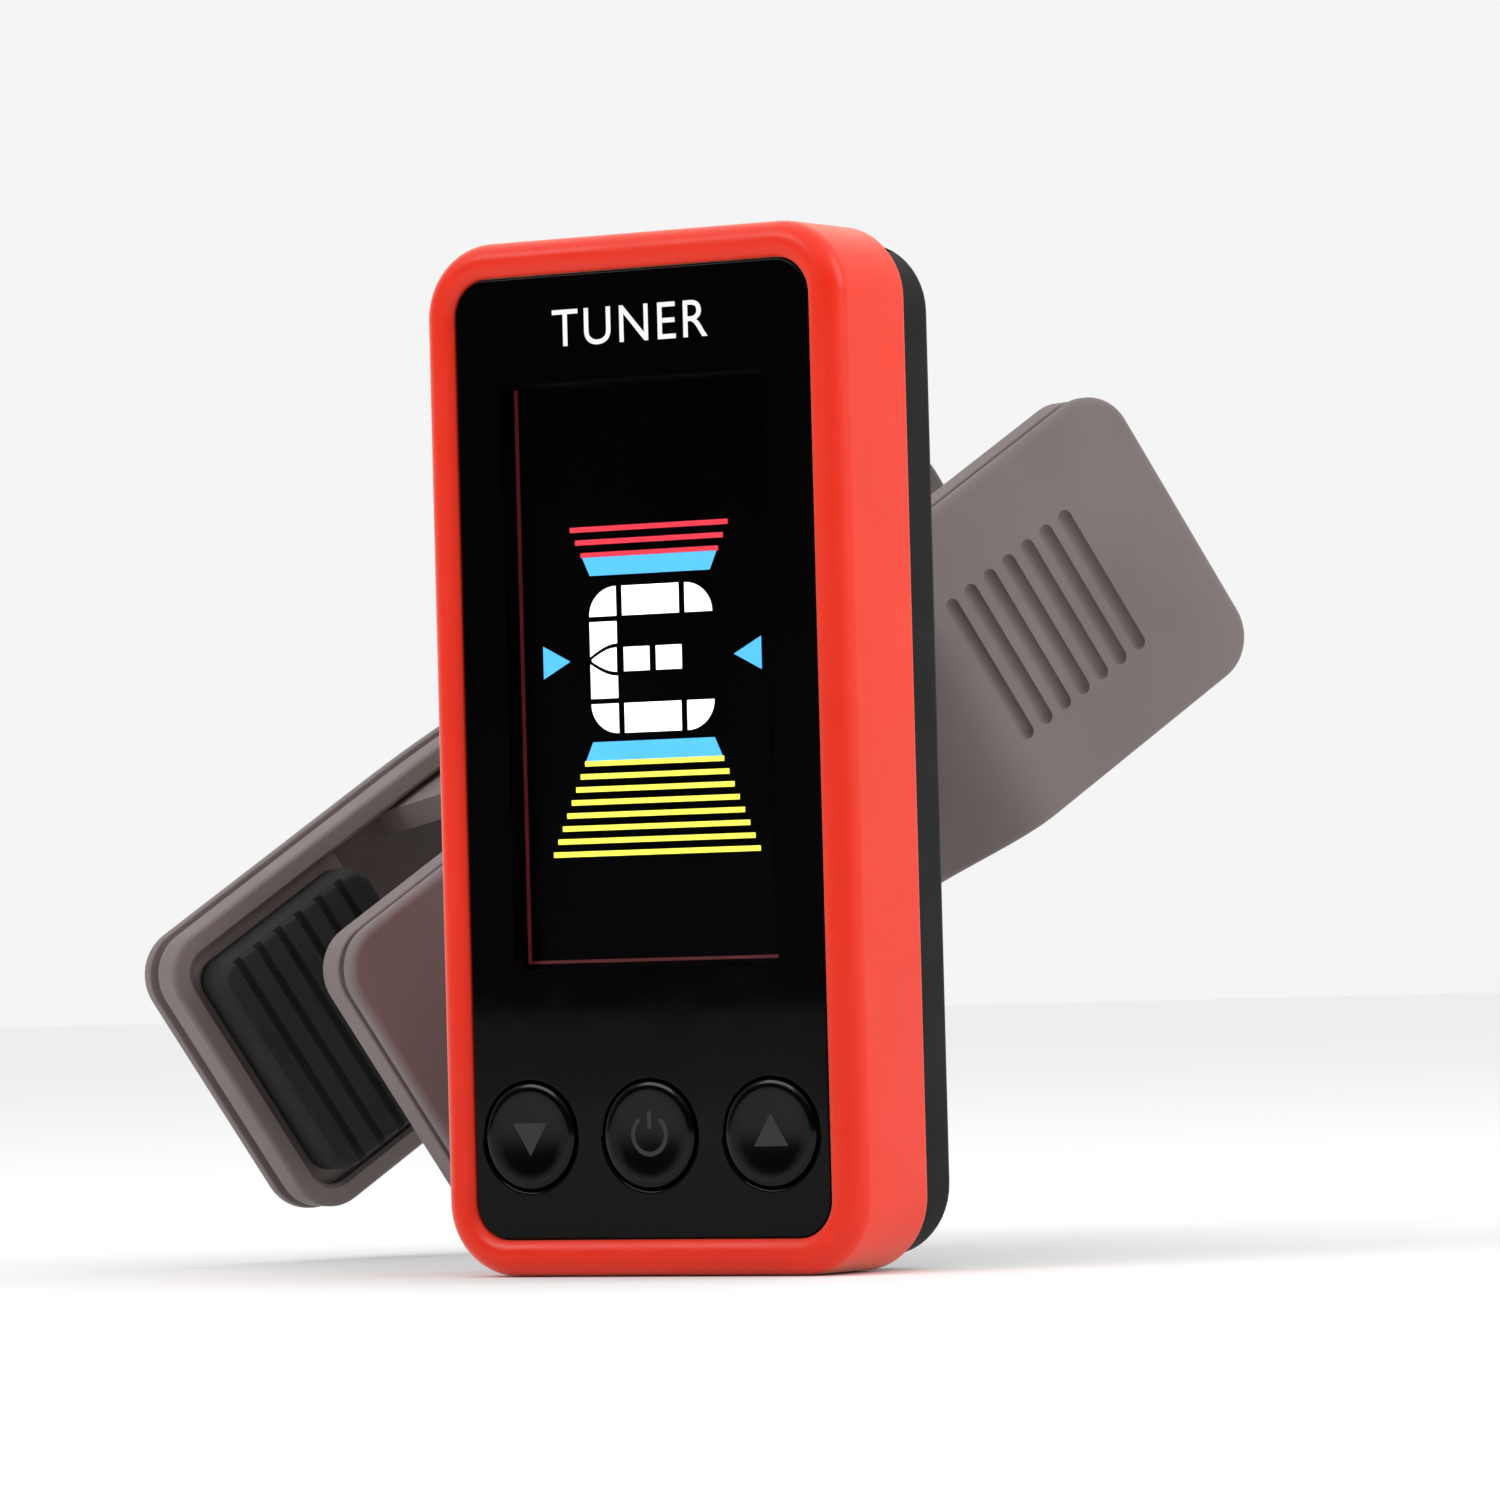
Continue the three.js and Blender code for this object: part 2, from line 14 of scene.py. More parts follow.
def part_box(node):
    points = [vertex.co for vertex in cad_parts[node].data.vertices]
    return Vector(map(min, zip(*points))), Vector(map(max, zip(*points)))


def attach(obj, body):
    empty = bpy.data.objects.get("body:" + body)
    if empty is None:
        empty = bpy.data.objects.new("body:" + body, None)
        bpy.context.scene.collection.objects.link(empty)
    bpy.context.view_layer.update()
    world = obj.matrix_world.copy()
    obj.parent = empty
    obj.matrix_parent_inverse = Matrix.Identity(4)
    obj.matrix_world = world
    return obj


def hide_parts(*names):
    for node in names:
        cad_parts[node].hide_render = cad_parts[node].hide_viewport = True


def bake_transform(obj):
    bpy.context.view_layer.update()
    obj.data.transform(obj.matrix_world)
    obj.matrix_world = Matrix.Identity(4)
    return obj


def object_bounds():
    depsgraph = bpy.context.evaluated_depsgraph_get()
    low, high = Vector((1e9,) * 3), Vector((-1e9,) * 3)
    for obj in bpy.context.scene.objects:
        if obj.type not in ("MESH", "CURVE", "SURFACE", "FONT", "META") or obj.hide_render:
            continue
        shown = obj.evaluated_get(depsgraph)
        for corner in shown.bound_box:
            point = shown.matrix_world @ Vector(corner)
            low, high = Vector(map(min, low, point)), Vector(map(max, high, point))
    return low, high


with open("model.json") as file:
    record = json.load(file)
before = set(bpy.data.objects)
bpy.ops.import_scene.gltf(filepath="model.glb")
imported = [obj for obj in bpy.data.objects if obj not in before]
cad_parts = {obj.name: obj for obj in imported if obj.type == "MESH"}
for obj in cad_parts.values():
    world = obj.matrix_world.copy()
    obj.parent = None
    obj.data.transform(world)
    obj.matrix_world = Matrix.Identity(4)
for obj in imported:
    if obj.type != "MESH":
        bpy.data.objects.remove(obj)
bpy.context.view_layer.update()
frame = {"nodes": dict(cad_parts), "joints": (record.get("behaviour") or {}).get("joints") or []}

MM = 0.001
JOINTS = {j["name"]: j for j in frame["joints"]}
UP = Vector((0, 0, 1))


# Local frames

def local_frame(x, y, z, origin):
    """Matrix from local millimetres to the row frame in metres."""
    columns = [Vector(v) * MM for v in (x, y, z)]
    rows = [[columns[0][i], columns[1][i], columns[2][i], Vector(origin)[i]] for i in range(3)]
    return Matrix(rows + [[0, 0, 0, 1]])


def case_origin():
    low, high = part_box("bezel")
    return (low.x + high.x) / 2, low.y, (low.z + high.z) / 2


OUTWARD = Vector(JOINTS["swivel_spin"]["axis"])
ACROSS = Vector(JOINTS["jaw_pivot"]["axis"])
ALONG = ACROSS.cross(OUTWARD)
POST_BASE = Vector(JOINTS["swivel_spin"]["pos_m"])
BOSS_HEIGHT = 4.5
HINGE = Vector(JOINTS["display_tilt"]["pos_m"])
DISPLAY = local_frame((1, 0, 0), (0, 1, 0), UP, case_origin())
CLIP = local_frame(ALONG, ACROSS, OUTWARD, POST_BASE - BOSS_HEIGHT * MM * OUTWARD)
SWIVEL = local_frame(UP.cross(OUTWARD), UP, OUTWARD, POST_BASE)


def size_of(node):
    low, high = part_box(node)
    return [v / MM for v in high - low]


def local_box(node, matrix):
    """Lowest and highest corner of a CAD node in a local frame, in millimetres."""
    points = [matrix.inverted() @ v.co for v in frame["nodes"][node].data.vertices]
    return [Vector([pick(p[i] for p in points) for i in range(3)]) for pick in (min, max)]


CASE_WIDTH, BEZEL_DEPTH, CASE_HEIGHT = size_of("bezel")
REAR_WIDTH, _, REAR_HEIGHT = size_of("rear_housing")
HINGE_LOCAL = DISPLAY.inverted() @ HINGE
HINGE_Y, HINGE_Z = HINGE_LOCAL.y, HINGE_LOCAL.z
CASE_DEPTH = local_box("battery_door", DISPLAY)[1].y
POST_HEIGHT = (HINGE - POST_BASE).length / MM
PIVOT = CLIP.inverted() @ Vector(JOINTS["jaw_pivot"]["pos_m"])
CASE_CORNER, REAR_CORNER = 4.3, 4.2
FRAME_WIDTH = 2.1
LENS_FRONT, LENS_BACK = 0.35, 1.65
BUTTON_PITCH = (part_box("up_button")[0].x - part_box("power_button")[0].x) / MM
BUTTON_RADIUS = size_of("power_button")[0] / 2
BUTTON_Z = (DISPLAY.inverted() @ Vector(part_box("power_button")[0])).z + BUTTON_RADIUS
WINDOW_WIDTH, WINDOW_BOTTOM, WINDOW_TOP = 18.0, -12.3, 21.6
HINGE_BORE = 1.4


# Materials

class Nodes:
    """A material's node tree, with short calls for the nodes used here."""

    def __init__(self, name):
        self.material = bpy.data.materials.new(name)
        self.material.use_nodes = True
        self.tree = self.material.node_tree
        self.shader = self.tree.nodes["Principled BSDF"]
        self.place = self.add("ShaderNodeTexCoord").outputs["Object"]

    def add(self, kind, **values):
        node = self.tree.nodes.new(kind)
        for key, value in values.items():
            setattr(node, key, value)
        return node

    def link(self, a, b):
        self.tree.links.new(a, b)

    def noise(self, scale, detail=3.0, stretch=None):
        node = self.add("ShaderNodeTexNoise")
        node.inputs["Scale"].default_value = scale
        node.inputs["Detail"].default_value = detail
        source = self.place
        if stretch:
            mapping = self.add("ShaderNodeMapping")
            mapping.inputs["Scale"].default_value = stretch
            self.link(self.place, mapping.inputs["Vector"])
            source = mapping.outputs["Vector"]
        self.link(source, node.inputs["Vector"])
        return node.outputs["Fac"]

    def ramp(self, value, low, high, from_low=0.3, from_high=0.7):
        node = self.add("ShaderNodeMapRange")
        for key, number in (("From Min", from_low), ("From Max", from_high), ("To Min", low), ("To Max", high)):
            node.inputs[key].default_value = number
        self.link(value, node.inputs["Value"])
        return node.outputs["Result"]

    def tint(self, value, dark, light, from_low=0.3, from_high=0.7):
        node = self.add("ShaderNodeValToRGB")
        node.color_ramp.elements[0].position = from_low
        node.color_ramp.elements[0].color = (*dark, 1)
        node.color_ramp.elements[1].position = from_high
        node.color_ramp.elements[1].color = (*light, 1)
        self.link(value, node.inputs["Fac"])
        return node.outputs["Color"]

    def bump(self, height, strength, distance, after=None):
        node = self.add("ShaderNodeBump")
        node.inputs["Strength"].default_value = strength
        node.inputs["Distance"].default_value = distance
        self.link(height, node.inputs["Height"])
        if after:
            self.link(after, node.inputs["Normal"])
        return node.outputs["Normal"]

    def set(self, **values):
        for key, value in values.items():
            self.shader.inputs[key.replace("_", " ")].default_value = value

    def feed(self, socket, name):
        self.link(socket, self.shader.inputs[name])


def linear(*levels):
    """Linear colour from 8-bit display values."""
    shares = [level / 255 for level in levels]
    return tuple(v / 12.92 if v <= 0.04045 else ((v + 0.055) / 1.055) ** 2.4 for v in shares)


def shade(colour, factor):
    return tuple(min(1.0, v * factor) for v in colour)


def moulded(name, colour, roughness, grain_mm, depth_mm, reflect=0.4, spread=0.08, haze=0.0):
    """Moulded plastic: a fine spark-eroded grain, slow colour drift and rubbed edges."""
    n = Nodes(name)
    drift = n.noise(90, 2)
    edge = n.add("ShaderNodeNewGeometry").outputs["Pointiness"]
    body = n.tint(drift, shade(colour, 1 - spread), shade(colour, 1 + spread))
    worn = n.add("ShaderNodeMix", data_type="RGBA", blend_type="MIX")
    n.link(n.ramp(edge, 0.0, 0.22, 0.53, 0.62), worn.inputs["Factor"])
    n.link(body, worn.inputs["A"])
    worn.inputs["B"].default_value = (*shade(colour, 1.5), 1)
    n.link(worn.outputs["Result"], n.shader.inputs["Base Color"])
    n.feed(n.ramp(n.noise(260, 4), roughness - 0.06, roughness + 0.08), "Roughness")
    grain = n.bump(n.noise(1 / (grain_mm * MM), 2), 0.5, depth_mm * MM)
    n.feed(n.bump(n.noise(160, 1), 0.25, 0.02 * MM, grain), "Normal")
    n.set(Specular_IOR_Level=reflect)
    n.set(Sheen_Weight=haze, Sheen_Roughness=0.35, Sheen_Tint=(1, 0.8, 0.55, 1))
    return n.material


def gloss_black(name, haze=0.03, reflect=0.3):
    """Polished black, with faint polishing haze and a few fine rubs."""
    n = Nodes(name)
    n.feed(n.tint(n.noise(40, 2), linear(2, 2, 3), linear(6, 6, 7)), "Base Color")
    n.feed(n.ramp(n.noise(420, 4), haze, haze + 0.035, 0.45, 0.8), "Roughness")
    n.feed(n.bump(n.noise(60, 1), 0.05, 0.01 * MM), "Normal")
    n.set(Specular_IOR_Level=reflect)
    return n.material


def clear_window():
    n = Nodes("lens_window_clear")
    n.feed(n.tint(n.noise(90, 2), (0.96, 0.96, 0.97), (1, 1, 1)), "Base Color")
    n.set(Roughness=0.0, Transmission_Weight=1.0, IOR=1.1)
    return n.material


def metal(name, colour, roughness, stretch=(1, 1, 1)):
    """Plated or brushed metal, with fine drawn lines along the stretch."""
    n = Nodes(name)
    lines = n.noise(1400, 4, stretch)
    n.feed(n.tint(n.noise(180, 3), shade(colour, 0.82), colour), "Base Color")
    n.feed(n.ramp(lines, roughness - 0.08, roughness + 0.14), "Roughness")
    n.feed(n.bump(lines, 0.25, 0.01 * MM), "Normal")
    n.set(Metallic=1.0)
    return n.material


def glowing(name, colour, strength):
    """A lit part of the display, with the faint unevenness of its backlight."""
    n = Nodes(name)
    n.feed(n.tint(n.noise(300, 2), shade(colour, 0.9), colour), "Base Color")
    n.feed(n.ramp(n.noise(900, 2), 0.35, 0.5), "Roughness")
    n.set(Emission_Color=(*colour, 1), Emission_Strength=strength)
    return n.material


def circuit():
    """Green solder mask over copper tracks, with a fine weave under it."""
    n = Nodes("board_green")
    tracks = n.add("ShaderNodeTexBrick")
    tracks.inputs["Scale"].default_value = 420
    tracks.inputs["Mortar Size"].default_value = 0.06
    for key, grey in (("Color1", 0.0), ("Color2", 0.15), ("Mortar", 1.0)):
        tracks.inputs[key].default_value = (grey, grey, grey, 1)
    turn = n.add("ShaderNodeMapping")
    turn.inputs["Rotation"].default_value = (math.pi / 2, 0, 0)
    n.link(n.place, turn.inputs["Vector"])
    n.link(turn.outputs["Vector"], tracks.inputs["Vector"])
    n.feed(n.tint(tracks.outputs["Color"], linear(20, 84, 48), linear(46, 128, 76), 0.1, 0.8), "Base Color")
    n.feed(n.ramp(n.noise(600, 2), 0.3, 0.45), "Roughness")
    n.feed(n.bump(tracks.outputs["Color"], 0.3, 0.02 * MM), "Normal")
    return n.material


RED = linear(229, 42, 16)
MATERIALS = {
    "red": moulded("red_plastic", RED, 0.36, 0.16, 0.005, reflect=0.3, spread=0.03, haze=0.5),
    "black": moulded("black_plastic", linear(18, 16, 17), 0.52, 0.2, 0.012, reflect=0.13),
    "arm": moulded("arm_plastic", linear(119, 109, 108), 0.55, 0.22, 0.014, reflect=0.25),
    "rubber": moulded("pad_rubber", linear(30, 29, 29), 0.85, 0.12, 0.02),
    "silicone": moulded("silicone_grey", linear(138, 141, 144), 0.6, 0.3, 0.01),
    "chip": moulded("chip_epoxy", linear(32, 32, 34), 0.55, 0.1, 0.006),
    "lens": gloss_black("lens_gloss", reflect=0.1),
    "window": clear_window(),
    "screen": gloss_black("screen_dark", 0.12, 0.05),
    "light": moulded("light_guide_white", linear(232, 232, 228), 0.4, 0.3, 0.004),
    "button": gloss_black("button_black", 0.12, 0.2),
    "board": circuit(),
    "steel": metal("zinc_steel", linear(196, 199, 204), 0.3, (1, 1, 8)),
    "dark_steel": metal("dark_steel", linear(96, 96, 100), 0.38, (1, 1, 8)),
    "brass": metal("brass_disc", linear(206, 168, 92), 0.34),
    "white_lit": glowing("lit_white", linear(255, 255, 255), 1.0),
    "blue_lit": glowing("lit_blue", linear(72, 172, 230), 0.85),
    "yellow_lit": glowing("lit_yellow", linear(240, 236, 80), 0.85),
    "red_lit": glowing("lit_red", linear(214, 44, 62), 0.8),
    # Painted glint: an emissive dark red line, no lamp, for the light seen along the cut edge of the display glass.
    "edge_glow": glowing("painted_edge_glint_line", linear(96, 28, 34), 0.3),
    "white_print": moulded("white_print", linear(246, 246, 244), 0.45, 0.2, 0.002),
    "icon_print": moulded("icon_print", linear(40, 39, 40), 0.35, 0.2, 0.002),
}


# Mesh making

def outline(width, height, radius, steps=10, x=0.0, y=0.0):
    """Points of a rounded rectangle, anticlockwise."""
    points = []
    for side_x, side_y, start in ((1, -1, -90), (1, 1, 0), (-1, 1, 90), (-1, -1, 180)):
        for i in range(steps + 1):
            angle = math.radians(start + 90 * i / steps)
            points.append((
                x + side_x * (width / 2 - radius) + radius * math.cos(angle),
                y + side_y * (height / 2 - radius) + radius * math.sin(angle),
            ))
    return points


def circle(radius, steps=48, x=0.0, y=0.0):
    turns = [2 * math.pi * i / steps for i in range(steps)]
    return [(x + radius * math.cos(t), y + radius * math.sin(t)) for t in turns]


def arc(centre, radii, start, end, steps=6):
    """Points of an elliptical arc of a section, from start to end degrees."""
    turns = [math.radians(start + (end - start) * i / steps) for i in range(steps + 1)]
    return [(centre[0] + radii[0] * math.cos(t), centre[1] + radii[1] * math.sin(t)) for t in turns]


def along_y(x, y, depth):
    """Lays a flat outline in x and z, with its depth along y."""
    return x, depth, y


def along_z(x, y, depth):
    return x, y, depth


def bmesh_of(rings, closed=False):
    """Skin over rings of equal length. An open skin gets a flat cap at each end."""
    bm = bmesh.new()
    loops = [[bm.verts.new(p) for p in ring] for ring in rings]
    count = len(rings[0])
    pairs = list(zip(loops, loops[1:] + loops[:1])) if closed else list(zip(loops, loops[1:]))
    for a, b in pairs:
        for i in range(count):
            j = (i + 1) % count
            bm.faces.new((a[i], a[j], b[j], b[i]))
    if not closed:
        bm.faces.new(loops[0])
        bm.faces.new(loops[-1])
    bmesh.ops.remove_doubles(bm, verts=bm.verts, dist=1e-5)
    bmesh.ops.recalc_face_normals(bm, faces=bm.faces)
    return bm


def ring_body(width, height, radius, profile, lay=along_y, closed=False, x=0.0, y=0.0, steps=10):
    """A rounded rectangle swept through a section of (inset, depth) points."""
    rings = []
    for inset, depth in profile:
        points = outline(width - 2 * inset, height - 2 * inset, max(radius - inset, 0.05), steps, x, y)
        rings.append([lay(px, py, depth) for px, py in points])
    return bmesh_of(rings, closed)


def lathe(profile, lay=along_y, x=0.0, y=0.0, steps=48, closed=False):
    """A turned body from (radius, height) points."""
    rings = []
    for radius, height in profile:
        points = circle(max(radius, 1e-4), steps, x, y)
        rings.append([lay(px, py, height) for px, py in points])
    return bmesh_of(rings, closed)


def drill(radius, low, high, lay=along_y, x=0.0, y=0.0, steps=32):
    """A plain cylinder, to cut a hole."""
    return lathe([(0, low), (radius, low), (radius, high), (0, high)], lay, x, y, steps)


def prism(points, low, high, lay=along_y):
    return bmesh_of([[lay(px, py, low) for px, py in points], [lay(px, py, high) for px, py in points]])


def slab_profile(low, high, edge, steps=3):
    """Section of a plate with both edges rounded."""
    return [
        *arc((edge, low + edge), (edge, edge), 270, 180, steps),
        *arc((edge, high - edge), (edge, edge), 180, 90, steps),
    ]


def rod_profile(radius, low, high, edge=0.15):
    return [
        (0, low), (radius - edge, low), (radius - 0.3 * edge, low + 0.3 * edge), (radius, low + edge),
        (radius, high - edge), (radius - 0.3 * edge, high - 0.3 * edge), (radius - edge, high), (0, high),
    ]


def cuboid(x0, x1, y0, y1, z0, z1, edge=0.12):
    """A box with softened edges."""
    bm = bmesh.new()
    bmesh.ops.create_cube(bm, size=1)
    spans = (x0, x1), (y0, y1), (z0, z1)
    for v in bm.verts:
        v.co = [(low + high) / 2 + share * (high - low) for share, (low, high) in zip(v.co, spans)]
    if edge:
        bmesh.ops.bevel(bm, geom=bm.edges, offset=edge, segments=2, affect="EDGES", profile=0.7)
    return bm


def crossed_bars(x, z, reach, half, low, high):
    """Two bars across each other, to cut a screw's recess or a plus mark."""
    return [
        cuboid(x - reach, x + reach, low, high, z - half, z + half, 0),
        cuboid(x - half, x + half, low, high, z - reach, z + reach, 0),
    ]


def add_object(name, data):
    obj = bpy.data.objects.new(name, data)
    bpy.context.scene.collection.objects.link(obj)
    return obj


def add_mesh(name, bm):
    mesh = bpy.data.meshes.new(name)
    bm.to_mesh(mesh)
    bm.free()
    return add_object(name, mesh)


def combine(base, tools, operation):
    """The exact union, cut or overlap of bodies, as a new body."""
    target = add_mesh("shape", base)
    helpers = [add_mesh("shape", tool) for tool in tools]
    for helper in helpers:
        modifier = target.modifiers.new("join", "BOOLEAN")
        modifier.operation = operation
        modifier.solver = "EXACT"
        modifier.object = helper
    bpy.context.view_layer.update()
    result = bmesh.new()
    evaluated = target.evaluated_get(bpy.context.evaluated_depsgraph_get())
    result.from_mesh(evaluated.to_mesh())
    if not result.faces:
        raise ValueError("a body came out empty")
    for obj in [target, *helpers]:
        bpy.data.objects.remove(obj)
    bmesh.ops.remove_doubles(result, verts=result.verts, dist=1e-4)
    bmesh.ops.dissolve_degenerate(result, edges=result.edges, dist=1e-4)
    return result


def union(base, *others):
    return combine(base, others, "UNION")


def minus(base, *others):
    return combine(base, others, "DIFFERENCE")


def gather(*bodies):
    """Separate closed bodies kept in one piece."""
    result = bmesh.new()
    for body in bodies:
        mesh = bpy.data.meshes.new("part")
        body.to_mesh(mesh)
        body.free()
        result.from_mesh(mesh)
        bpy.data.meshes.remove(mesh)
    return result


CREASE = math.radians(32)


def piece(name, bm, place, body, material, replaced=()):
    """Adds a finished piece: creased normals, material and body, and hides the CAD nodes that it replaces."""
    bmesh.ops.transform(bm, matrix=place, verts=bm.verts)
    for face in bm.faces:
        face.smooth = True
    for edge in bm.edges:
        edge.smooth = len(edge.link_faces) == 2 and edge.calc_face_angle(0) < CREASE
    obj = add_mesh(name, bm)
    obj.data.materials.append(MATERIALS[material])
    weighted = obj.modifiers.new("normals", "WEIGHTED_NORMAL")
    weighted.keep_sharp = True
    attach(obj, body)
    if replaced:
        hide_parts(*replaced)
    return obj


# Display case

def make_bezel():
    lip = LENS_BACK + 0.3
    section = [
        (0.3, BEZEL_DEPTH), (0.08, BEZEL_DEPTH - 0.08), (0, BEZEL_DEPTH - 0.3),
        *arc((1.1, 1.3), (1.1, 1.3), 180, 270, 10),
        *arc((1.25, 0.5), (FRAME_WIDTH - 1.25, 0.5), 270, 360, 6),
        (FRAME_WIDTH, lip), (FRAME_WIDTH + 0.55, lip), (FRAME_WIDTH + 0.55, 3.0), (1.7, 3.0), (1.7, BEZEL_DEPTH),
    ]
    shell = ring_body(CASE_WIDTH, CASE_HEIGHT, CASE_CORNER, section, closed=True, steps=14)
    piece("red_bezel", shell, DISPLAY, "display", "red", ["bezel"])


def button_hole(x):
    """Cuts the hole for a button, with a softened front edge."""
    rim = BUTTON_RADIUS + 0.13
    profile = [
        (0, -1), (rim + 0.16, -1), (rim + 0.16, LENS_FRONT), (rim + 0.04, LENS_FRONT + 0.06),
        (rim, LENS_FRONT + 0.16), (rim, 3), (0, 3),
    ]
    return lathe(profile, x=x, y=BUTTON_Z, steps=72)


def make_lens():
    """The polished cover, and a clear area in it over the display."""
    gap = 0.12
    width, height = CASE_WIDTH - 2 * FRAME_WIDTH - gap, CASE_HEIGHT - 2 * FRAME_WIDTH - gap
    corner = CASE_CORNER - FRAME_WIDTH - gap / 2
    cover = ring_body(width, height, corner, slab_profile(LENS_FRONT, LENS_BACK, 0.12), steps=12)
    holes = [button_hole(x) for x in (-BUTTON_PITCH, 0, BUTTON_PITCH)]
    window_height = WINDOW_TOP - WINDOW_BOTTOM
    middle = (WINDOW_TOP + WINDOW_BOTTOM) / 2
    opening = prism(outline(WINDOW_WIDTH, window_height, 0.3, 4, 0, middle), -1, 3)
    piece("lens", minus(cover, opening, *holes), DISPLAY, "display", "lens", ["lens"])
    section = [(0, LENS_FRONT), (0, LENS_BACK)]
    clear = ring_body(WINDOW_WIDTH - 0.03, window_height - 0.03, 0.29, section, y=middle, steps=4)
    window = piece("lens_clear_area", clear, DISPLAY, "display", "window")
    window.data.materials.append(MATERIALS["lens"])
    for face in window.data.polygons:
        face.material_index = 0 if abs(face.normal.y) > 0.5 else 1


def make_buttons():
    top, edge = LENS_FRONT - 0.12, BUTTON_RADIUS
    crown = [(0, top + 0.1), (1.0, top + 0.09), (1.9, top + 0.05), (2.6, top), (edge - 0.22, top + 0.02)]
    profile = [*crown, (edge - 0.08, top + 0.1), (edge, top + 0.26), (edge, 2.8), (0, 2.8)]
    for name, x in (("down", -BUTTON_PITCH), ("power", 0), ("up", BUTTON_PITCH)):
        body = f"{name}_button"
        key = lathe(profile, x=x, y=BUTTON_Z, steps=72)
        piece(f"{name}_key", key, DISPLAY, body, "button", [body])
        piece(f"{name}_icon", icon(name, x), DISPLAY, body, "icon_print")


def icon(name, x):
    """The sign printed on a button: a power sign, or a triangle up or down."""
    low, high = LENS_FRONT - 0.045, LENS_FRONT + 0.03
    if name == "power":
        half_gap, steps = 38, 28
        turns = [math.radians(90 + half_gap + (360 - 2 * half_gap) * i / steps) for i in range(steps + 1)]
        outer = [(x + 1.25 * math.cos(t), BUTTON_Z + 1.25 * math.sin(t)) for t in turns]
        inner = [(x + 0.98 * math.cos(t), BUTTON_Z + 0.98 * math.sin(t)) for t in turns]
        stroke = cuboid(x - 0.14, x + 0.14, low, high, BUTTON_Z + 0.35, BUTTON_Z + 1.55, 0)
        return gather(prism(outer + inner[::-1], low, high), stroke)
    way = 1 if name == "up" else -1
    foot, tip = BUTTON_Z - 0.75 * way, BUTTON_Z + 1.15 * way
    return prism([(x - 1.15, foot), (x + 1.15, foot), (x, tip)], low, high)


# Lit figures of the display, in millimetres from the middle of the note letter

SCREEN_Y = 2.02
FIGURE_Z = 5.5


def trapezium(z0, z1, width0, width1):
    return [(-width0 / 2, z0), (width0 / 2, z0), (width1 / 2, z1), (-width1 / 2, z1)]


def bar(z, width, thick=0.31):
    return trapezium(z - thick / 2, z + thick / 2, width, width)


def quarter(corner_x, corner_z, way_x, way_z):
    """A quarter of an ellipse, which rounds a corner of the letter."""
    turns = [math.radians(90 * i / 10) for i in range(11)]
    rim = [(corner_x + way_x * 1.85 * math.cos(t), corner_z + way_z * 1.72 * math.sin(t)) for t in turns]
    return [(corner_x, corner_z), *rim]


def letter_segments():
    """The note letter as the segments of a segmented display."""
    left, inner, right = -4.2, -2.35, 2.35
    rise = [(t, math.sin(t * math.pi / 2)) for t in (0, 0.2, 0.4, 0.6, 0.8, 1)]
    shapes = []
    for way in (1, -1):
        shapes.append(quarter(inner, 2.53 * way, -1, way))
        shapes.append([(-1.94, 2.53 * way), (1.94, 2.53 * way), (1.94, 4.25 * way), (-1.94, 4.25 * way)])
        shapes.append(quarter(right, 2.53 * way, 1, way))
        curve = [(left + 1.85 * t, way * (0.22 + 0.72 * height)) for t, height in rise]
        shapes.append([*curve, (inner, 2.22 * way), (left, 2.22 * way)])
    nose = [(left + 1.8 * t, 0.7 * math.sin(t * math.pi / 2)) for t in (0.06, 0.2, 0.4, 0.6, 0.8, 1)]
    shapes.append(nose + [(x, -z) for x, z in reversed(nose)])
    shapes.append([(-1.9, -0.7), (-0.15, -0.7), (-0.15, 0.7), (-1.9, 0.7)])
    shapes.append([(0.3, -0.7), (2.05, -0.7), (2.05, 0.7), (0.3, 0.7)])
    return shapes


def make_figures():
    red_bars = [bar(7.6 - 0.75 * i, 10.8 - 0.7 * i, 0.3) for i in range(3)]
    yellow_bars = [bar(-5.95 - 0.745 * i, 9.5 + 0.66 * i) for i in range(8)]
    blue = [
        trapezium(4.9, 5.98, 8.2, 9.2), trapezium(-5.8, -4.72, 9.3, 8.3),
        [(-7.45, -0.95), (-5.6, 0), (-7.45, 0.95)], [(7.45, -0.95), (5.6, 0), (7.45, 0.95)],
    ]
    sets = {"note_letter": ("white_lit", letter_segments()), "flat_bars": ("red_lit", red_bars)}
    sets["sharp_bars"] = ("yellow_lit", yellow_bars)
    sets["in_tune_marks"] = ("blue_lit", blue)
    for name, (material, shapes) in sets.items():
        bodies = [prism([(x, z + FIGURE_Z) for x, z in shape], SCREEN_Y - 0.03, SCREEN_Y) for shape in shapes]
        piece(name, gather(*bodies), DISPLAY, "display", material)


def make_painted_edge_glint():
    """A painted glint: a thin dim red line that gives off light though it is no lamp, standing in for the light seen
    along the left and bottom cut edge of the display glass.
    """
    left, right, bottom, top = -8.98, 8.98, -11.95, 21.4
    lines = [
        cuboid(left, left + 0.2, 1.92, SCREEN_Y, bottom, top, 0),
        cuboid(left + 0.2, right, 1.92, SCREEN_Y, bottom, bottom + 0.18, 0),
    ]
    piece("painted_glass_edge_glint", gather(*lines), DISPLAY, "display", "edge_glow")


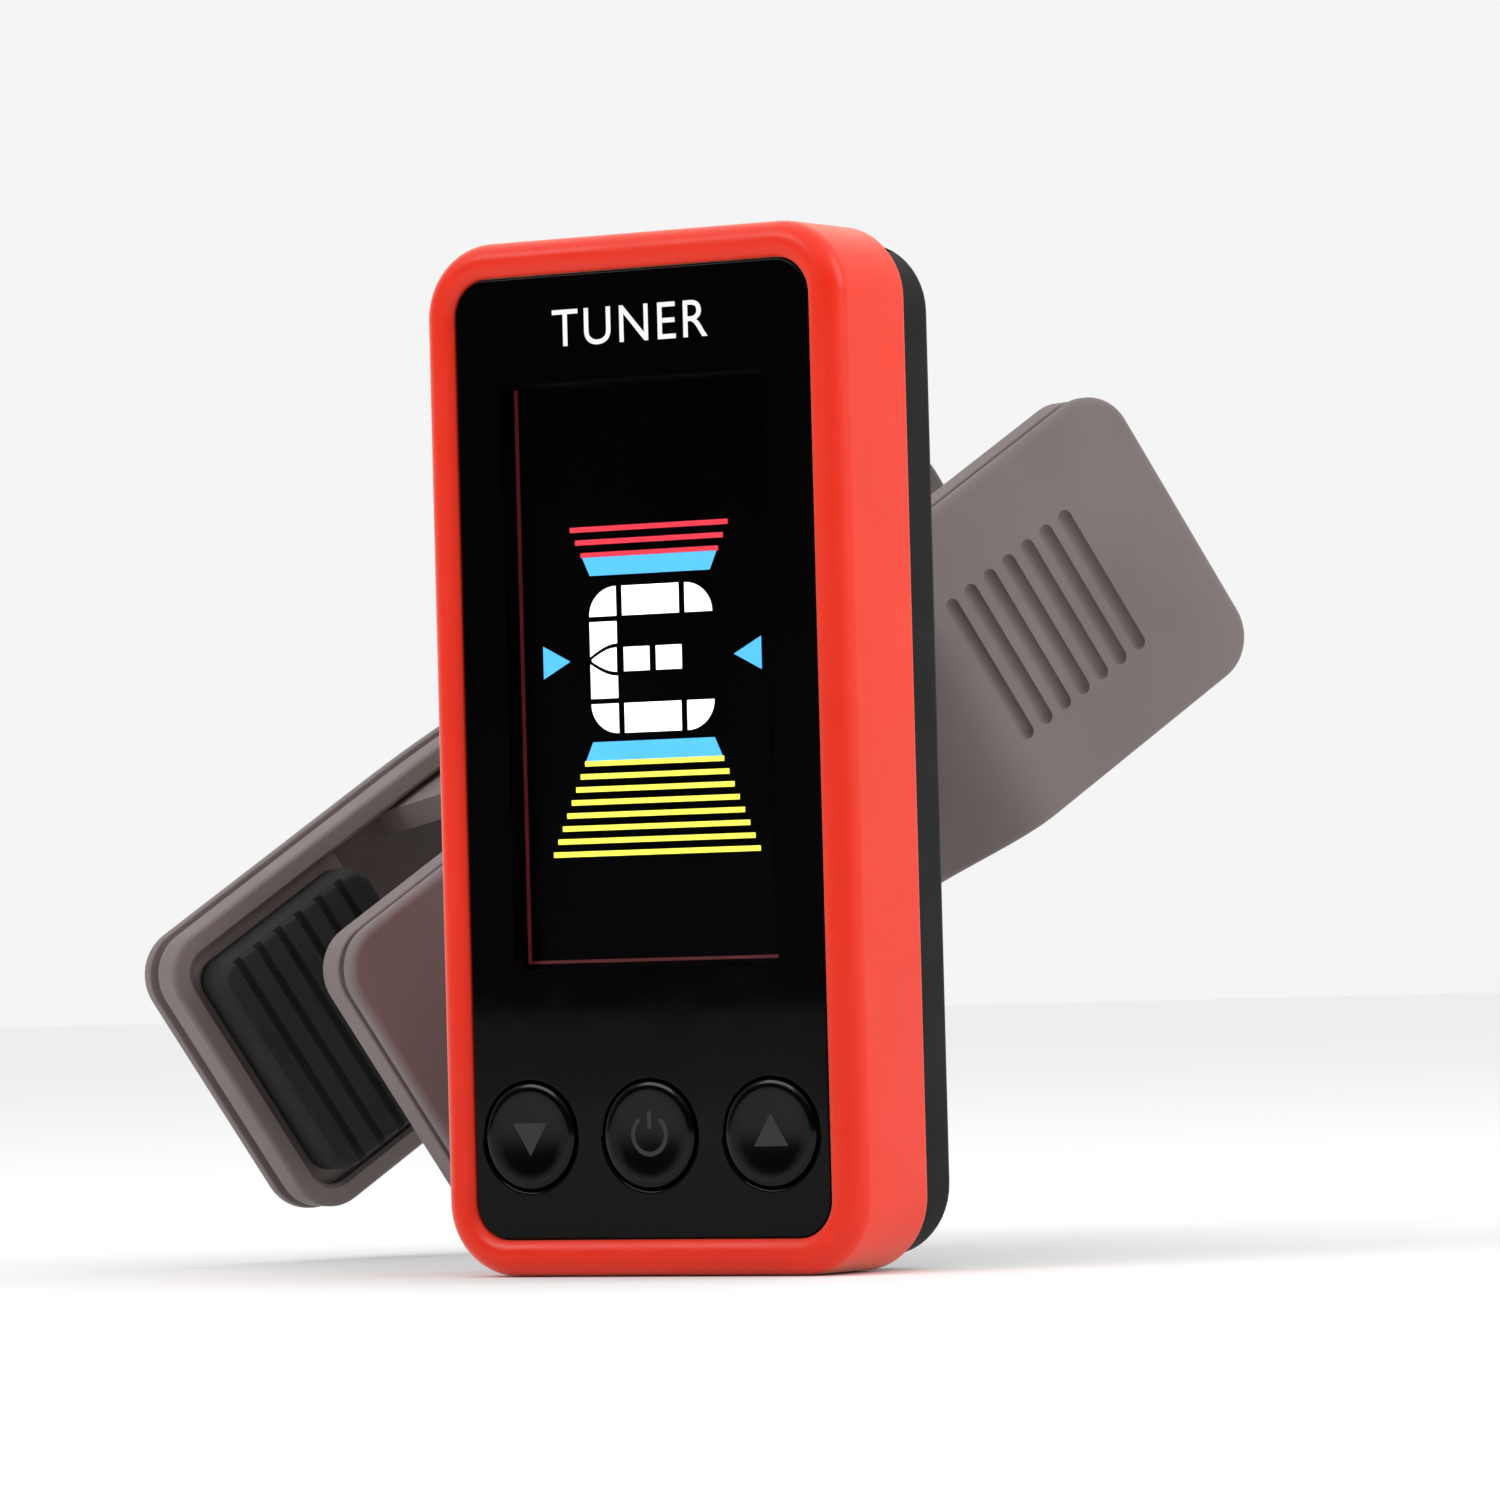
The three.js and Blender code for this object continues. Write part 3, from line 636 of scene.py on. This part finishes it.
def make_word():
    """A plain word in white print at the top of the lens."""
    curve = bpy.data.curves.new("word", "FONT")
    curve.body = "TUNER"
    curve.align_x, curve.align_y = "CENTER", "CENTER"
    curve.size = 3.1
    curve.extrude = 0.01
    curve.space_character = 1.12
    holder = add_object("word", curve)
    bpy.context.view_layer.update()
    bm = bmesh.new()
    bm.from_mesh(holder.evaluated_get(bpy.context.evaluated_depsgraph_get()).to_mesh())
    bpy.data.objects.remove(holder)
    for v in bm.verts:
        v.co = along_y(v.co.x, v.co.y + 24.6, LENS_FRONT - 0.01 + 0.6 * v.co.z)
    bmesh.ops.remove_doubles(bm, verts=bm.verts, dist=1e-5)
    bmesh.ops.recalc_face_normals(bm, faces=bm.faces)
    piece("word_tuner", bm, DISPLAY, "display", "white_print")


DOOR_BOTTOM = local_box("battery_door", DISPLAY)[0].z
DOOR_HALF = 10.3
SCREWS = [f"housing_screw_{i}" for i in (1, 2, 3, 4)]


def screw_centre(name):
    low, high = local_box(name, DISPLAY)
    return (low.x + high.x) / 2, (low.z + high.z) / 2


def ears():
    """Two hinge lugs with rounded ends, blended into the back of the case."""
    radius, near, far = 3.1, 3.6, 6.6
    turns = [math.radians(180 - 180 * i / 20) for i in range(21)]
    top = [(radius * math.cos(t), HINGE_Y + radius * math.sin(t)) for t in turns]
    foot = [(radius, CASE_DEPTH + 0.9), (3.5, CASE_DEPTH + 0.15), (4.1, CASE_DEPTH - 0.6)]
    points = [*((-x, y) for x, y in reversed(foot)), *top, *foot]
    bodies = []
    for side in (-1, 1):
        z0, z1 = sorted((HINGE_Z + near * side, HINGE_Z + far * side))
        body = prism(points, z0, z1, along_z)
        rims = [e for e in body.edges if abs(e.verts[0].co.z - e.verts[1].co.z) < 1e-6]
        bmesh.ops.bevel(body, geom=rims, offset=0.25, segments=2, affect="EDGES", profile=0.6)
        bodies.append(body)
    return bodies


def screw_well(x, z):
    """A counterbore: open to the back below the battery door, and only as deep as the door's floor above."""
    if z > DOOR_BOTTOM:
        rim = [(2.2, CASE_DEPTH - 1.5), (0, CASE_DEPTH - 1.5)]
    else:
        rim = [(2.2, CASE_DEPTH - 0.3), (2.5, 13), (0, 13)]
    return lathe([(0, 7.9), (2.2, 7.9), *rim], x=x, y=z)


def make_rear_housing():
    front = BEZEL_DEPTH + 0.3
    inner = [(2.1, CASE_DEPTH - 1.4), (2.1, front - 1.0), (1.3, front - 1.0), (1.3, front)]
    back_edge = arc((0.7, CASE_DEPTH - 0.7), (0.7, 0.7), 180, 90, 6)
    outer = [(0.2, front), (0.05, front + 0.05), (0, front + 0.2), *back_edge]
    shell = ring_body(REAR_WIDTH, REAR_HEIGHT, REAR_CORNER, inner + outer, steps=12)
    places = [screw_centre(name) for name in SCREWS]
    seats = [lathe(rod_profile(2.6, 6.7, CASE_DEPTH - 1.2), x=x, y=z) for x, z in places]
    wells = [screw_well(x, z) for x, z in places]
    shafts = [drill(1.2, 6, 9, x=x, y=z, steps=24) for x, z in places]
    door_low, half = DOOR_BOTTOM - 0.3, DOOR_HALF + 0.3
    floor = CASE_DEPTH - 1.61
    slot = prism([(-half, door_low), (half, door_low), (half, 40), (-half, 40)], floor, 20)
    wide = half + 0.9
    groove = prism([(-wide, door_low), (wide, door_low), (wide, 40), (-wide, 40)], floor, CASE_DEPTH - 0.5)
    pin_hole = drill(HINGE_BORE, HINGE_Z - 8, HINGE_Z + 8, along_z, 0, HINGE_Y)
    body = minus(union(shell, *seats, *ears()), *wells, *shafts, slot, groove, pin_hole)
    piece("rear_case", body, DISPLAY, "display", "black", ["rear_housing"])


def make_battery_door():
    """The sliding cover, with rails at its sides and grip grooves and an arrow in its back."""
    top, low, inside = REAR_HEIGHT / 2, DOOR_BOTTOM, CASE_DEPTH - 1.3
    middle = (top + low) / 2
    deck = ring_body(2 * DOOR_HALF, top - low, 0.4, slab_profile(inside, CASE_DEPTH, 0.2), y=middle, steps=4)
    rails = cuboid(-DOOR_HALF - 0.9, DOOR_HALF + 0.9, inside, CASE_DEPTH - 0.8, low, top - 1, 0.08)
    cut = [(0, CASE_DEPTH - 0.35), (0, CASE_DEPTH + 1)]
    grooves = [ring_body(9, 0.55, 0.27, cut, y=19.0 + 1.25 * i, steps=6) for i in range(6)]
    arrow = prism([(-1.6, 14.2), (1.6, 14.2), (0, 16.2)], CASE_DEPTH - 0.25, CASE_DEPTH + 1)
    cover = minus(union(deck, rails), *grooves, arrow)
    piece("battery_cover", cover, DISPLAY, "battery_door", "black", ["battery_door"])


def make_case_screws():
    profile = [
        (0, 9.3), (1.5, 9.28), (1.8, 9.1), (1.9, 8.85), (1.9, 8.2), (0.9, 8.2), (0.9, 4.1), (0.3, 3.7), (0, 3.7),
    ]
    for name in SCREWS:
        x, z = screw_centre(name)
        screw = minus(lathe(profile, x=x, y=z, steps=40), *crossed_bars(x, z, 1.1, 0.22, 8.75, 10))
        piece(f"{name}_detail", screw, DISPLAY, "display", "dark_steel", [name])


# Swivel

STUB_END = local_box("swivel_post", SWIVEL)[0].z


def make_swivel_post():
    """The turning foot, and the stem and barrel that sit between the case's hinge lugs."""
    base = [
        (0, STUB_END), (2.3, STUB_END), (2.3, 0.3), (6.3, 0.3), (6.5, 0.5), (6.5, 1.7),
        *arc((6.0, 1.8), (0.5, 0.5), 0, 90, 4), (5.4, 2.32),
        *arc((5.4, 4.9), (2.2, 2.6), 270, 180, 8), (3.05, 6.0), (2.95, 7.4), (0, 7.4),
    ]
    turned = lathe(base, along_z, steps=64)
    stem = cuboid(-2.9, 2.9, -2.5, 2.5, 5.6, POST_HEIGHT, 0.3)
    barrel = lathe(rod_profile(2.9, -2.5, 2.5, 0.25), along_y, 0, POST_HEIGHT, 56)
    pin_hole = drill(HINGE_BORE, -5, 5, along_y, 0, POST_HEIGHT)
    screw_hole = drill(1.25, -10, 5, along_z)
    body = minus(union(turned, stem, barrel), pin_hole, screw_hole)
    piece("swivel_knuckle", body, SWIVEL, "swivel", "black", ["swivel_post"])


def make_hinge_pin():
    """The hinge's screw, and the hexagon nut on its other end. Both turn with the display."""
    profile = [
        (0, 8.1), (1.2, 8.05), (1.75, 7.75), (2.0, 7.3), (2.0, 6.9), (1.1, 6.9), (1.1, -8.1), (0.9, -8.4), (0, -8.4),
    ]
    recess = crossed_bars(0, POST_HEIGHT, 1.2, 0.22, 7.6, 9)
    screw = minus(lathe(profile, along_y, 0, POST_HEIGHT, 48), *recess)
    piece("hinge_screw", screw, SWIVEL, "display", "steel", ["hinge_pin"])
    hexagon = prism(circle(2.3, 6, 0, POST_HEIGHT), -8.5, -6.9)
    rounded = [(0, -8.6), (1.95, -8.6), (2.4, -8.25), (2.4, -7.15), (1.95, -6.8), (0, -6.8)]
    dome = lathe(rounded, along_y, 0, POST_HEIGHT, 48)
    bore = drill(HINGE_BORE, -12, -5, along_y, 0, POST_HEIGHT)
    nut = minus(combine(hexagon, [dome], "INTERSECT"), bore)
    piece("hinge_hex_nut", nut, SWIVEL, "display", "steel", ["hinge_nut"])


# Clip

CLIP_LOW, CLIP_HIGH = local_box("front_arm", CLIP)
TIP, END = CLIP_HIGH.x, CLIP_LOW.x
CLIP_WIDTH = CLIP_HIGH.y - CLIP_LOW.y
REAR_LOW = local_box("rear_arm", CLIP)[0]
REAR_END, REAR_OUTER = REAR_LOW.x, REAR_LOW.z
ARM_DEPTH = 4.2
SHEET = 1.8
BEND_START, BEND_END = -16.0, -25.5
REAR_BEND_X, REAR_RISE = -6.0, 11.0
RIB_PLACES = (-5.2, 0, 5.2)


def front_lift(x):
    """How far the front lever stands out at x: none at the jaw, all of it past the bend."""
    t = min(max((BEND_START - x) / (BEND_START - BEND_END), 0), 1)
    return BOSS_HEIGHT * t * t * (3 - 2 * t)


def rear_lift(x):
    """How far the rear lever slopes towards the front one at x."""
    slope = REAR_RISE / (REAR_BEND_X - REAR_END)
    past = REAR_BEND_X + 4 - x
    return 0.0 if past <= 0 else slope * past ** 2 / 16 if past < 8 else slope * (REAR_BEND_X - x)


def sliced(bm, start, end, count):
    """Cuts a body across its length, so that it can bend."""
    for i in range(1, count):
        cut_x = start + (end - start) * i / count
        everything = bm.verts[:] + bm.edges[:] + bm.faces[:]
        bmesh.ops.bisect_plane(bm, geom=everything, plane_co=(cut_x, 0, 0), plane_no=(1, 0, 0))
    return bm


def on_front(bm):
    for v in bm.verts:
        v.co.z += front_lift(v.co.x)
    return bm


def on_rear(bm):
    """Turns a body drawn for the front arm over and lays it on the rear arm's slope."""
    for v in bm.verts:
        v.co.z = REAR_OUTER - v.co.z + rear_lift(v.co.x)
    bmesh.ops.reverse_faces(bm, faces=bm.faces)
    return bm


def arm_tray(end):
    """A shallow tray: plate with a softened edge, a fine step under it, and a rim all round."""
    section = [
        (1.9, -SHEET), (1.5, -SHEET - 0.4), (1.5, -ARM_DEPTH + 0.25), (1.25, -ARM_DEPTH),
        *arc((0.42, -ARM_DEPTH + 0.3), (0.3, 0.3), 270, 180, 3), (0.12, -2.1), (0.2, -2.0), (0.75, -1.95),
        (0.75, -1.15), (0.08, -1.1), (0, -1.0), *arc((0.5, -0.5), (0.5, 0.5), 180, 90, 6),
    ]
    body = ring_body(TIP - end, CLIP_WIDTH, 3.0, section, along_z, x=(TIP + end) / 2, steps=12)
    return sliced(body, end, TIP, 64)


def long_rib(end, y):
    rib = cuboid(end + 2.5, -14, y - 0.45, y + 0.45, -2.9, -SHEET + 0.5, 0)
    return sliced(rib, end + 2.5, -14, 26)


def cheeks(radius, root, near, far):
    """The walls from an arm to the pivot, rounded round the pin. Their root runs from high x to low x."""
    way = 1 if root[0][1] > PIVOT.z else -1
    turns = [math.radians(180 + way * 180 * i / 18) for i in range(19)]
    rim = [(PIVOT.x + radius * math.cos(t), PIVOT.z + radius * math.sin(t)) for t in turns]
    spans = [sorted((side * near, side * far)) for side in (-1, 1)]
    return [prism([*root, *rim], y0, y1) for y0, y1 in spans]


def pin_bore():
    return drill(1.8, -20, 20, along_y, PIVOT.x, PIVOT.z)


def grip_grooves(end):
    """Straight finger grooves with round ends, across the lever."""
    radius, half, first, pitch = 0.5, 4.6, 7.4, 1.65
    turns = [math.radians(15 * i) for i in range(7)]
    tip = [(radius * math.sin(t), half + radius * math.cos(t)) for t in turns]
    profile = [(r, -y) for r, y in tip] + tip[::-1]
    return [lathe(profile, along_y, end + first + pitch * i, 0.02, 20) for i in range(7)]


def swivel_boss():
    """The round boss that the swivel turns on."""
    radius, top = 7.6, BOSS_HEIGHT
    profile = [
        (0, -0.9), (radius + 1.2, -0.9), *arc((radius + 1.2, 1.2), (1.2, 1.2), 270, 180, 6),
        *arc((radius - 0.4, top - 0.4), (0.4, 0.4), 0, 90, 4), (0, top),
    ]
    return lathe(profile, along_z, steps=72)


def jaw_seat():
    """The block in the end of an arm, behind its pad."""
    half, inset = CLIP_WIDTH / 2, 1.2
    return cuboid(3.9, TIP - inset, inset - half, half - inset, -3.2, -SHEET + 0.5, 0.2)


def make_front_arm():
    outer = CLIP_WIDTH / 2
    root = [(PIVOT.x + 10, -3.4), (PIVOT.x - 6.5, -3.4)]
    walls = cheeks(4.4, root, outer - 1.5, outer - 0.32)
    ribs = [on_front(long_rib(END, y)) for y in RIB_PLACES]
    hole = drill(2.6, -5, 9, along_z, steps=40)
    grooves = [on_front(groove) for groove in grip_grooves(END)]
    solid = union(on_front(arm_tray(END)), jaw_seat(), *walls, *ribs, swivel_boss())
    body = minus(solid, pin_bore(), hole, *grooves)
    piece("front_lever", body, CLIP, "front_arm", "arm", ["front_arm"])


def make_rear_arm():
    """The rear lever. The root of its cheeks follows the slope, inside the plate."""
    outer = CLIP_WIDTH / 2 - 1.8
    root = [(x, REAR_OUTER + rear_lift(x) + 1.0) for x in (PIVOT.x + 9 - 1.7 * i for i in range(11))]
    walls = cheeks(4.2, root, outer - 1.6, outer)
    ribs = [on_rear(long_rib(REAR_END, y)) for y in RIB_PLACES]
    grooves = [on_rear(groove) for groove in grip_grooves(REAR_END)]
    solid = union(on_rear(arm_tray(REAR_END)), on_rear(jaw_seat()), *walls, *ribs)
    body = minus(solid, pin_bore(), *grooves)
    piece("rear_lever", body, CLIP, "rear_arm", "arm", ["rear_arm"])


def make_pad(node, body):
    """A rubber pad, with grooves across its gripping face."""
    low, high = local_box(node, CLIP)
    length, width = high.x - low.x, high.y - low.y
    middle = (high.x + low.x) / 2
    face, root = (low.z, high.z) if node == "front_pad" else (high.z, low.z)
    way = 1 if root > face else -1
    section = [(0, root), (0, face + 0.9 * way), (0.12, face + 0.45 * way), (0.4, face + 0.12 * way), (0.8, face)]
    block = ring_body(length, width, 1.5, section, along_z, x=middle, steps=8)
    places = [low.x + 2.1 + 1.7 * i for i in range(6)]
    grooves = [cuboid(x - 0.28, x + 0.28, -width, width, face - 0.35, face + 0.35, 0) for x in places]
    piece(f"{node}_ribbed", minus(block, *grooves), CLIP, body, "rubber", [node])


def make_pivot_pin():
    reach = CLIP_WIDTH / 2 + 0.3
    profile = [
        (0, -reach - 0.9), (1.6, -reach - 0.85), (2.2, -reach - 0.55), (2.3, -reach), (1.5, -reach), (1.5, reach),
        (2.6, reach), (2.5, reach + 0.5), (1.9, reach + 0.85), (0, reach + 0.9),
    ]
    body = lathe(profile, along_y, PIVOT.x, PIVOT.z, 48)
    piece("pivot_rivet", body, CLIP, "front_arm", "steel", ["pivot_pin"])


def smooth_path(points, per):
    """Points on a Catmull-Rom curve through the given points."""
    padded = [points[0] * 2 - points[1], *points, points[-1] * 2 - points[-2]]
    result = []
    for a, b, c, d in zip(padded, padded[1:], padded[2:], padded[3:]):
        for i in range(per):
            t = i / per
            square, cube = 2 * a - 5 * b + 4 * c - d, 3 * b - a - 3 * c + d
            result.append(0.5 * (2 * b + (c - a) * t + square * t * t + cube * t ** 3))
    return [*result, points[-1]]


def tube(path, radius, sides=14):
    """A round wire along a path, with flat ends."""
    normal = (path[1] - path[0]).orthogonal().normalized()
    rings = []
    for i, point in enumerate(path):
        ahead = (path[min(i + 1, len(path) - 1)] - path[max(i - 1, 0)]).normalized()
        normal = (normal - ahead * normal.dot(ahead)).normalized()
        side = ahead.cross(normal)
        turns = [2 * math.pi * k / sides for k in range(sides)]
        rings.append([point + radius * (normal * math.cos(t) + side * math.sin(t)) for t in turns])
    return bmesh_of(rings)


def make_spring():
    """Torsion spring: a close coil round the pin, and one leg under each lever."""
    mean, wire, turns, half, per_turn = 2.9, 0.45, 5, 3.0, 16
    start, sweep = math.pi * 0.62, turns * 2 * math.pi + math.pi * 0.76
    steps = round(sweep / (2 * math.pi) * per_turn)
    path = [Vector((PIVOT.x - 17, half, 1.75)), Vector((PIVOT.x - 8, half, -5.6))]
    for i in range(steps + 1):
        angle = start - sweep * i / steps
        x, z = PIVOT.x + mean * math.cos(angle), PIVOT.z + mean * math.sin(angle)
        path.append(Vector((x, half - 2 * half * i / steps, z)))
    path += [Vector((PIVOT.x - 8, -half, -19.2)), Vector((PIVOT.x - 15, -half, -20.6))]
    bm = tube(smooth_path(path, 3), wire)
    bmesh.ops.transform(bm, matrix=CLIP, verts=bm.verts)
    for face in bm.faces:
        face.smooth = len(face.verts) == 4
    spring = add_mesh("spring_wire", bm)
    spring.data.materials.append(MATERIALS["steel"])
    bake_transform(spring)
    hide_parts("torsion_spring")


# Washers and battery cell

def ring_washer(inner, outer, low, high, x=0.0, y=0.0, lay=along_z):
    """A flat ring with softened edges."""
    edge = min(0.08, (high - low) / 3)
    section = [
        (inner, low + edge), (inner + edge, low), (outer - edge, low), (outer, low + edge),
        (outer, high - edge), (outer - edge, high), (inner + edge, high), (inner, high - edge),
    ]
    return lathe(section, lay, x, y, 64, closed=True)


def make_washers():
    for name in ("friction_washer_upper", "friction_washer_lower"):
        low, high = local_box(name, SWIVEL)
        ring = ring_washer(HINGE_BORE, (high.x - low.x) / 2, low.y, high.y, 0, POST_HEIGHT, along_y)
        piece(f"{name}_ring", ring, SWIVEL, "swivel", "steel", [name])
    low, high = local_box("swivel_washer", SWIVEL)
    screw_clearance = 1.3
    ring = ring_washer(screw_clearance, (high.x - low.x) / 2, low.z, high.z)
    piece("swivel_washer_ring", ring, SWIVEL, "swivel", "steel", ["swivel_washer"])


def make_coin_cell():
    """A lithium cell: a can with a rolled rim, the smaller cap in front, and a plus mark on the back."""
    low, high = local_box("coin_cell", DISPLAY)
    x, z, radius = (low.x + high.x) / 2, (low.z + high.z) / 2, (high.x - low.x) / 2
    can = [
        (0, low.y), (radius - 2.2, low.y), (radius - 1.9, low.y + 0.12), (radius - 1.8, low.y + 0.35),
        (radius - 1.2, low.y + 0.4), *arc((radius - 0.5, low.y + 0.9), (0.5, 0.5), 270, 360, 5),
        *arc((radius - 0.4, high.y - 0.4), (0.4, 0.4), 0, 90, 5), (0, high.y),
    ]
    plus = crossed_bars(x, z, 2, 0.3, high.y - 0.06, high.y + 1)
    cell = minus(lathe(can, x=x, y=z, steps=72), *plus)
    piece("lithium_cell", cell, DISPLAY, "display", "steel", ["coin_cell"])


# CAD nodes that keep their shape and get a finish

KEPT = {
    "lcd_panel": "screen", "backlight": "light", "keypad": "silicone", "circuit_board": "board",
    "processor_chip": "chip", "piezo_sensor": "brass", "negative_contact": "steel",
    "positive_contact": "steel", "swivel_screw": "dark_steel",
}


def finish_kept_nodes():
    for name, material in KEPT.items():
        node = frame["nodes"][name]
        node.data.materials.clear()
        node.data.materials.append(MATERIALS[material])


# Stage, light and camera

def make_stage():
    low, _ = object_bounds()
    bpy.ops.mesh.primitive_plane_add(size=6, location=(0, 0, low.z - 0.00005))
    floor = bpy.context.object
    floor.name = "floor"
    n = Nodes("pale_floor")
    n.feed(n.tint(n.noise(6, 2), (0.845, 0.845, 0.845), (0.855, 0.855, 0.855)), "Base Color")
    n.set(Roughness=0.75, Specular_IOR_Level=0.2)
    floor.data.materials.append(n.material)


def make_world():
    """Bright overhead and behind, and dim low in front, so that the polished lens stays black."""
    world = bpy.data.worlds.new("studio")
    bpy.context.scene.world = world
    world.use_nodes = True
    tree = world.node_tree
    background = tree.nodes["Background"]
    split = tree.nodes.new("ShaderNodeSeparateXYZ")
    tree.links.new(tree.nodes.new("ShaderNodeTexCoord").outputs["Generated"], split.inputs["Vector"])
    ramps = []
    for axis, start, end, low, high in (("Y", -0.75, 0.1, 0.03, 0.8), ("Z", 0.3, 0.75, 0.0, 1.28)):
        ramp = tree.nodes.new("ShaderNodeMapRange")
        for key, value in (("From Min", start), ("From Max", end), ("To Min", low), ("To Max", high)):
            ramp.inputs[key].default_value = value
        tree.links.new(split.outputs[axis], ramp.inputs["Value"])
        ramps.append(ramp.outputs["Result"])
    highest = tree.nodes.new("ShaderNodeMath")
    highest.operation = "MAXIMUM"
    tree.links.new(ramps[0], highest.inputs[0])
    tree.links.new(ramps[1], highest.inputs[1])
    mix = tree.nodes.new("ShaderNodeMix")
    mix.inputs["B"].default_value = 0.91
    tree.links.new(tree.nodes.new("ShaderNodeLightPath").outputs["Is Camera Ray"], mix.inputs["Factor"])
    tree.links.new(highest.outputs["Value"], mix.inputs["A"])
    tree.links.new(mix.outputs["Result"], background.inputs["Color"])


def softbox(name, target, offset, size, power):
    """A rectangular light that faces its target. Lengths are in metres and the power in watts."""
    data = bpy.data.lights.new(name, "AREA")
    data.shape = "RECTANGLE"
    data.size, data.size_y = size
    data.energy = power
    light = add_object(name, data)
    light.location = target + Vector(offset)
    light.rotation_mode = "QUATERNION"
    light.rotation_quaternion = (target - light.location).to_track_quat("-Z", "Y")


def make_lights():
    middle = Vector(case_origin())
    softbox("key_right", middle, (0.55, 0.15, 0.32), (0.3, 0.4), 1.45)
    softbox("front_left_fill", middle, (-0.28, -0.5, 0.4), (0.4, 0.25), 1.7)


VIEW_AZIMUTH = math.radians(32)
VIEW_ELEVATION = math.radians(-1.5)
VIEW_ROLL = math.radians(-1.5)
VIEW_DISTANCE = 0.49
VIEW_LENS = 205
VIEW_SHIFT = 6.5


def make_camera():
    away = Vector((
        math.sin(VIEW_AZIMUTH) * math.cos(VIEW_ELEVATION),
        -math.cos(VIEW_AZIMUTH) * math.cos(VIEW_ELEVATION),
        math.sin(VIEW_ELEVATION),
    ))
    right = UP.cross(away).normalized()
    target = Vector(case_origin()) + right * VIEW_SHIFT * MM
    data = bpy.data.cameras.new("camera")
    data.lens = VIEW_LENS
    data.clip_start, data.clip_end = 0.01, 20
    camera = add_object("camera", data)
    camera.location = target + away * VIEW_DISTANCE
    camera.rotation_mode = "QUATERNION"
    camera.rotation_quaternion = (-away).to_track_quat("-Z", "Y")
    camera.rotation_quaternion.rotate(Matrix.Rotation(VIEW_ROLL, 3, away))
    bpy.context.scene.camera = camera


make_bezel()
make_lens()
make_buttons()
make_figures()
make_painted_edge_glint()
make_word()
make_rear_housing()
make_battery_door()
make_case_screws()
make_swivel_post()
make_hinge_pin()
make_front_arm()
make_rear_arm()
make_pad("front_pad", "front_arm")
make_pad("rear_pad", "rear_arm")
make_pivot_pin()
make_spring()
make_washers()
make_coin_cell()
finish_kept_nodes()
make_stage()
make_world()
make_lights()
make_camera()
bpy.context.scene.view_settings.view_transform = "Standard"
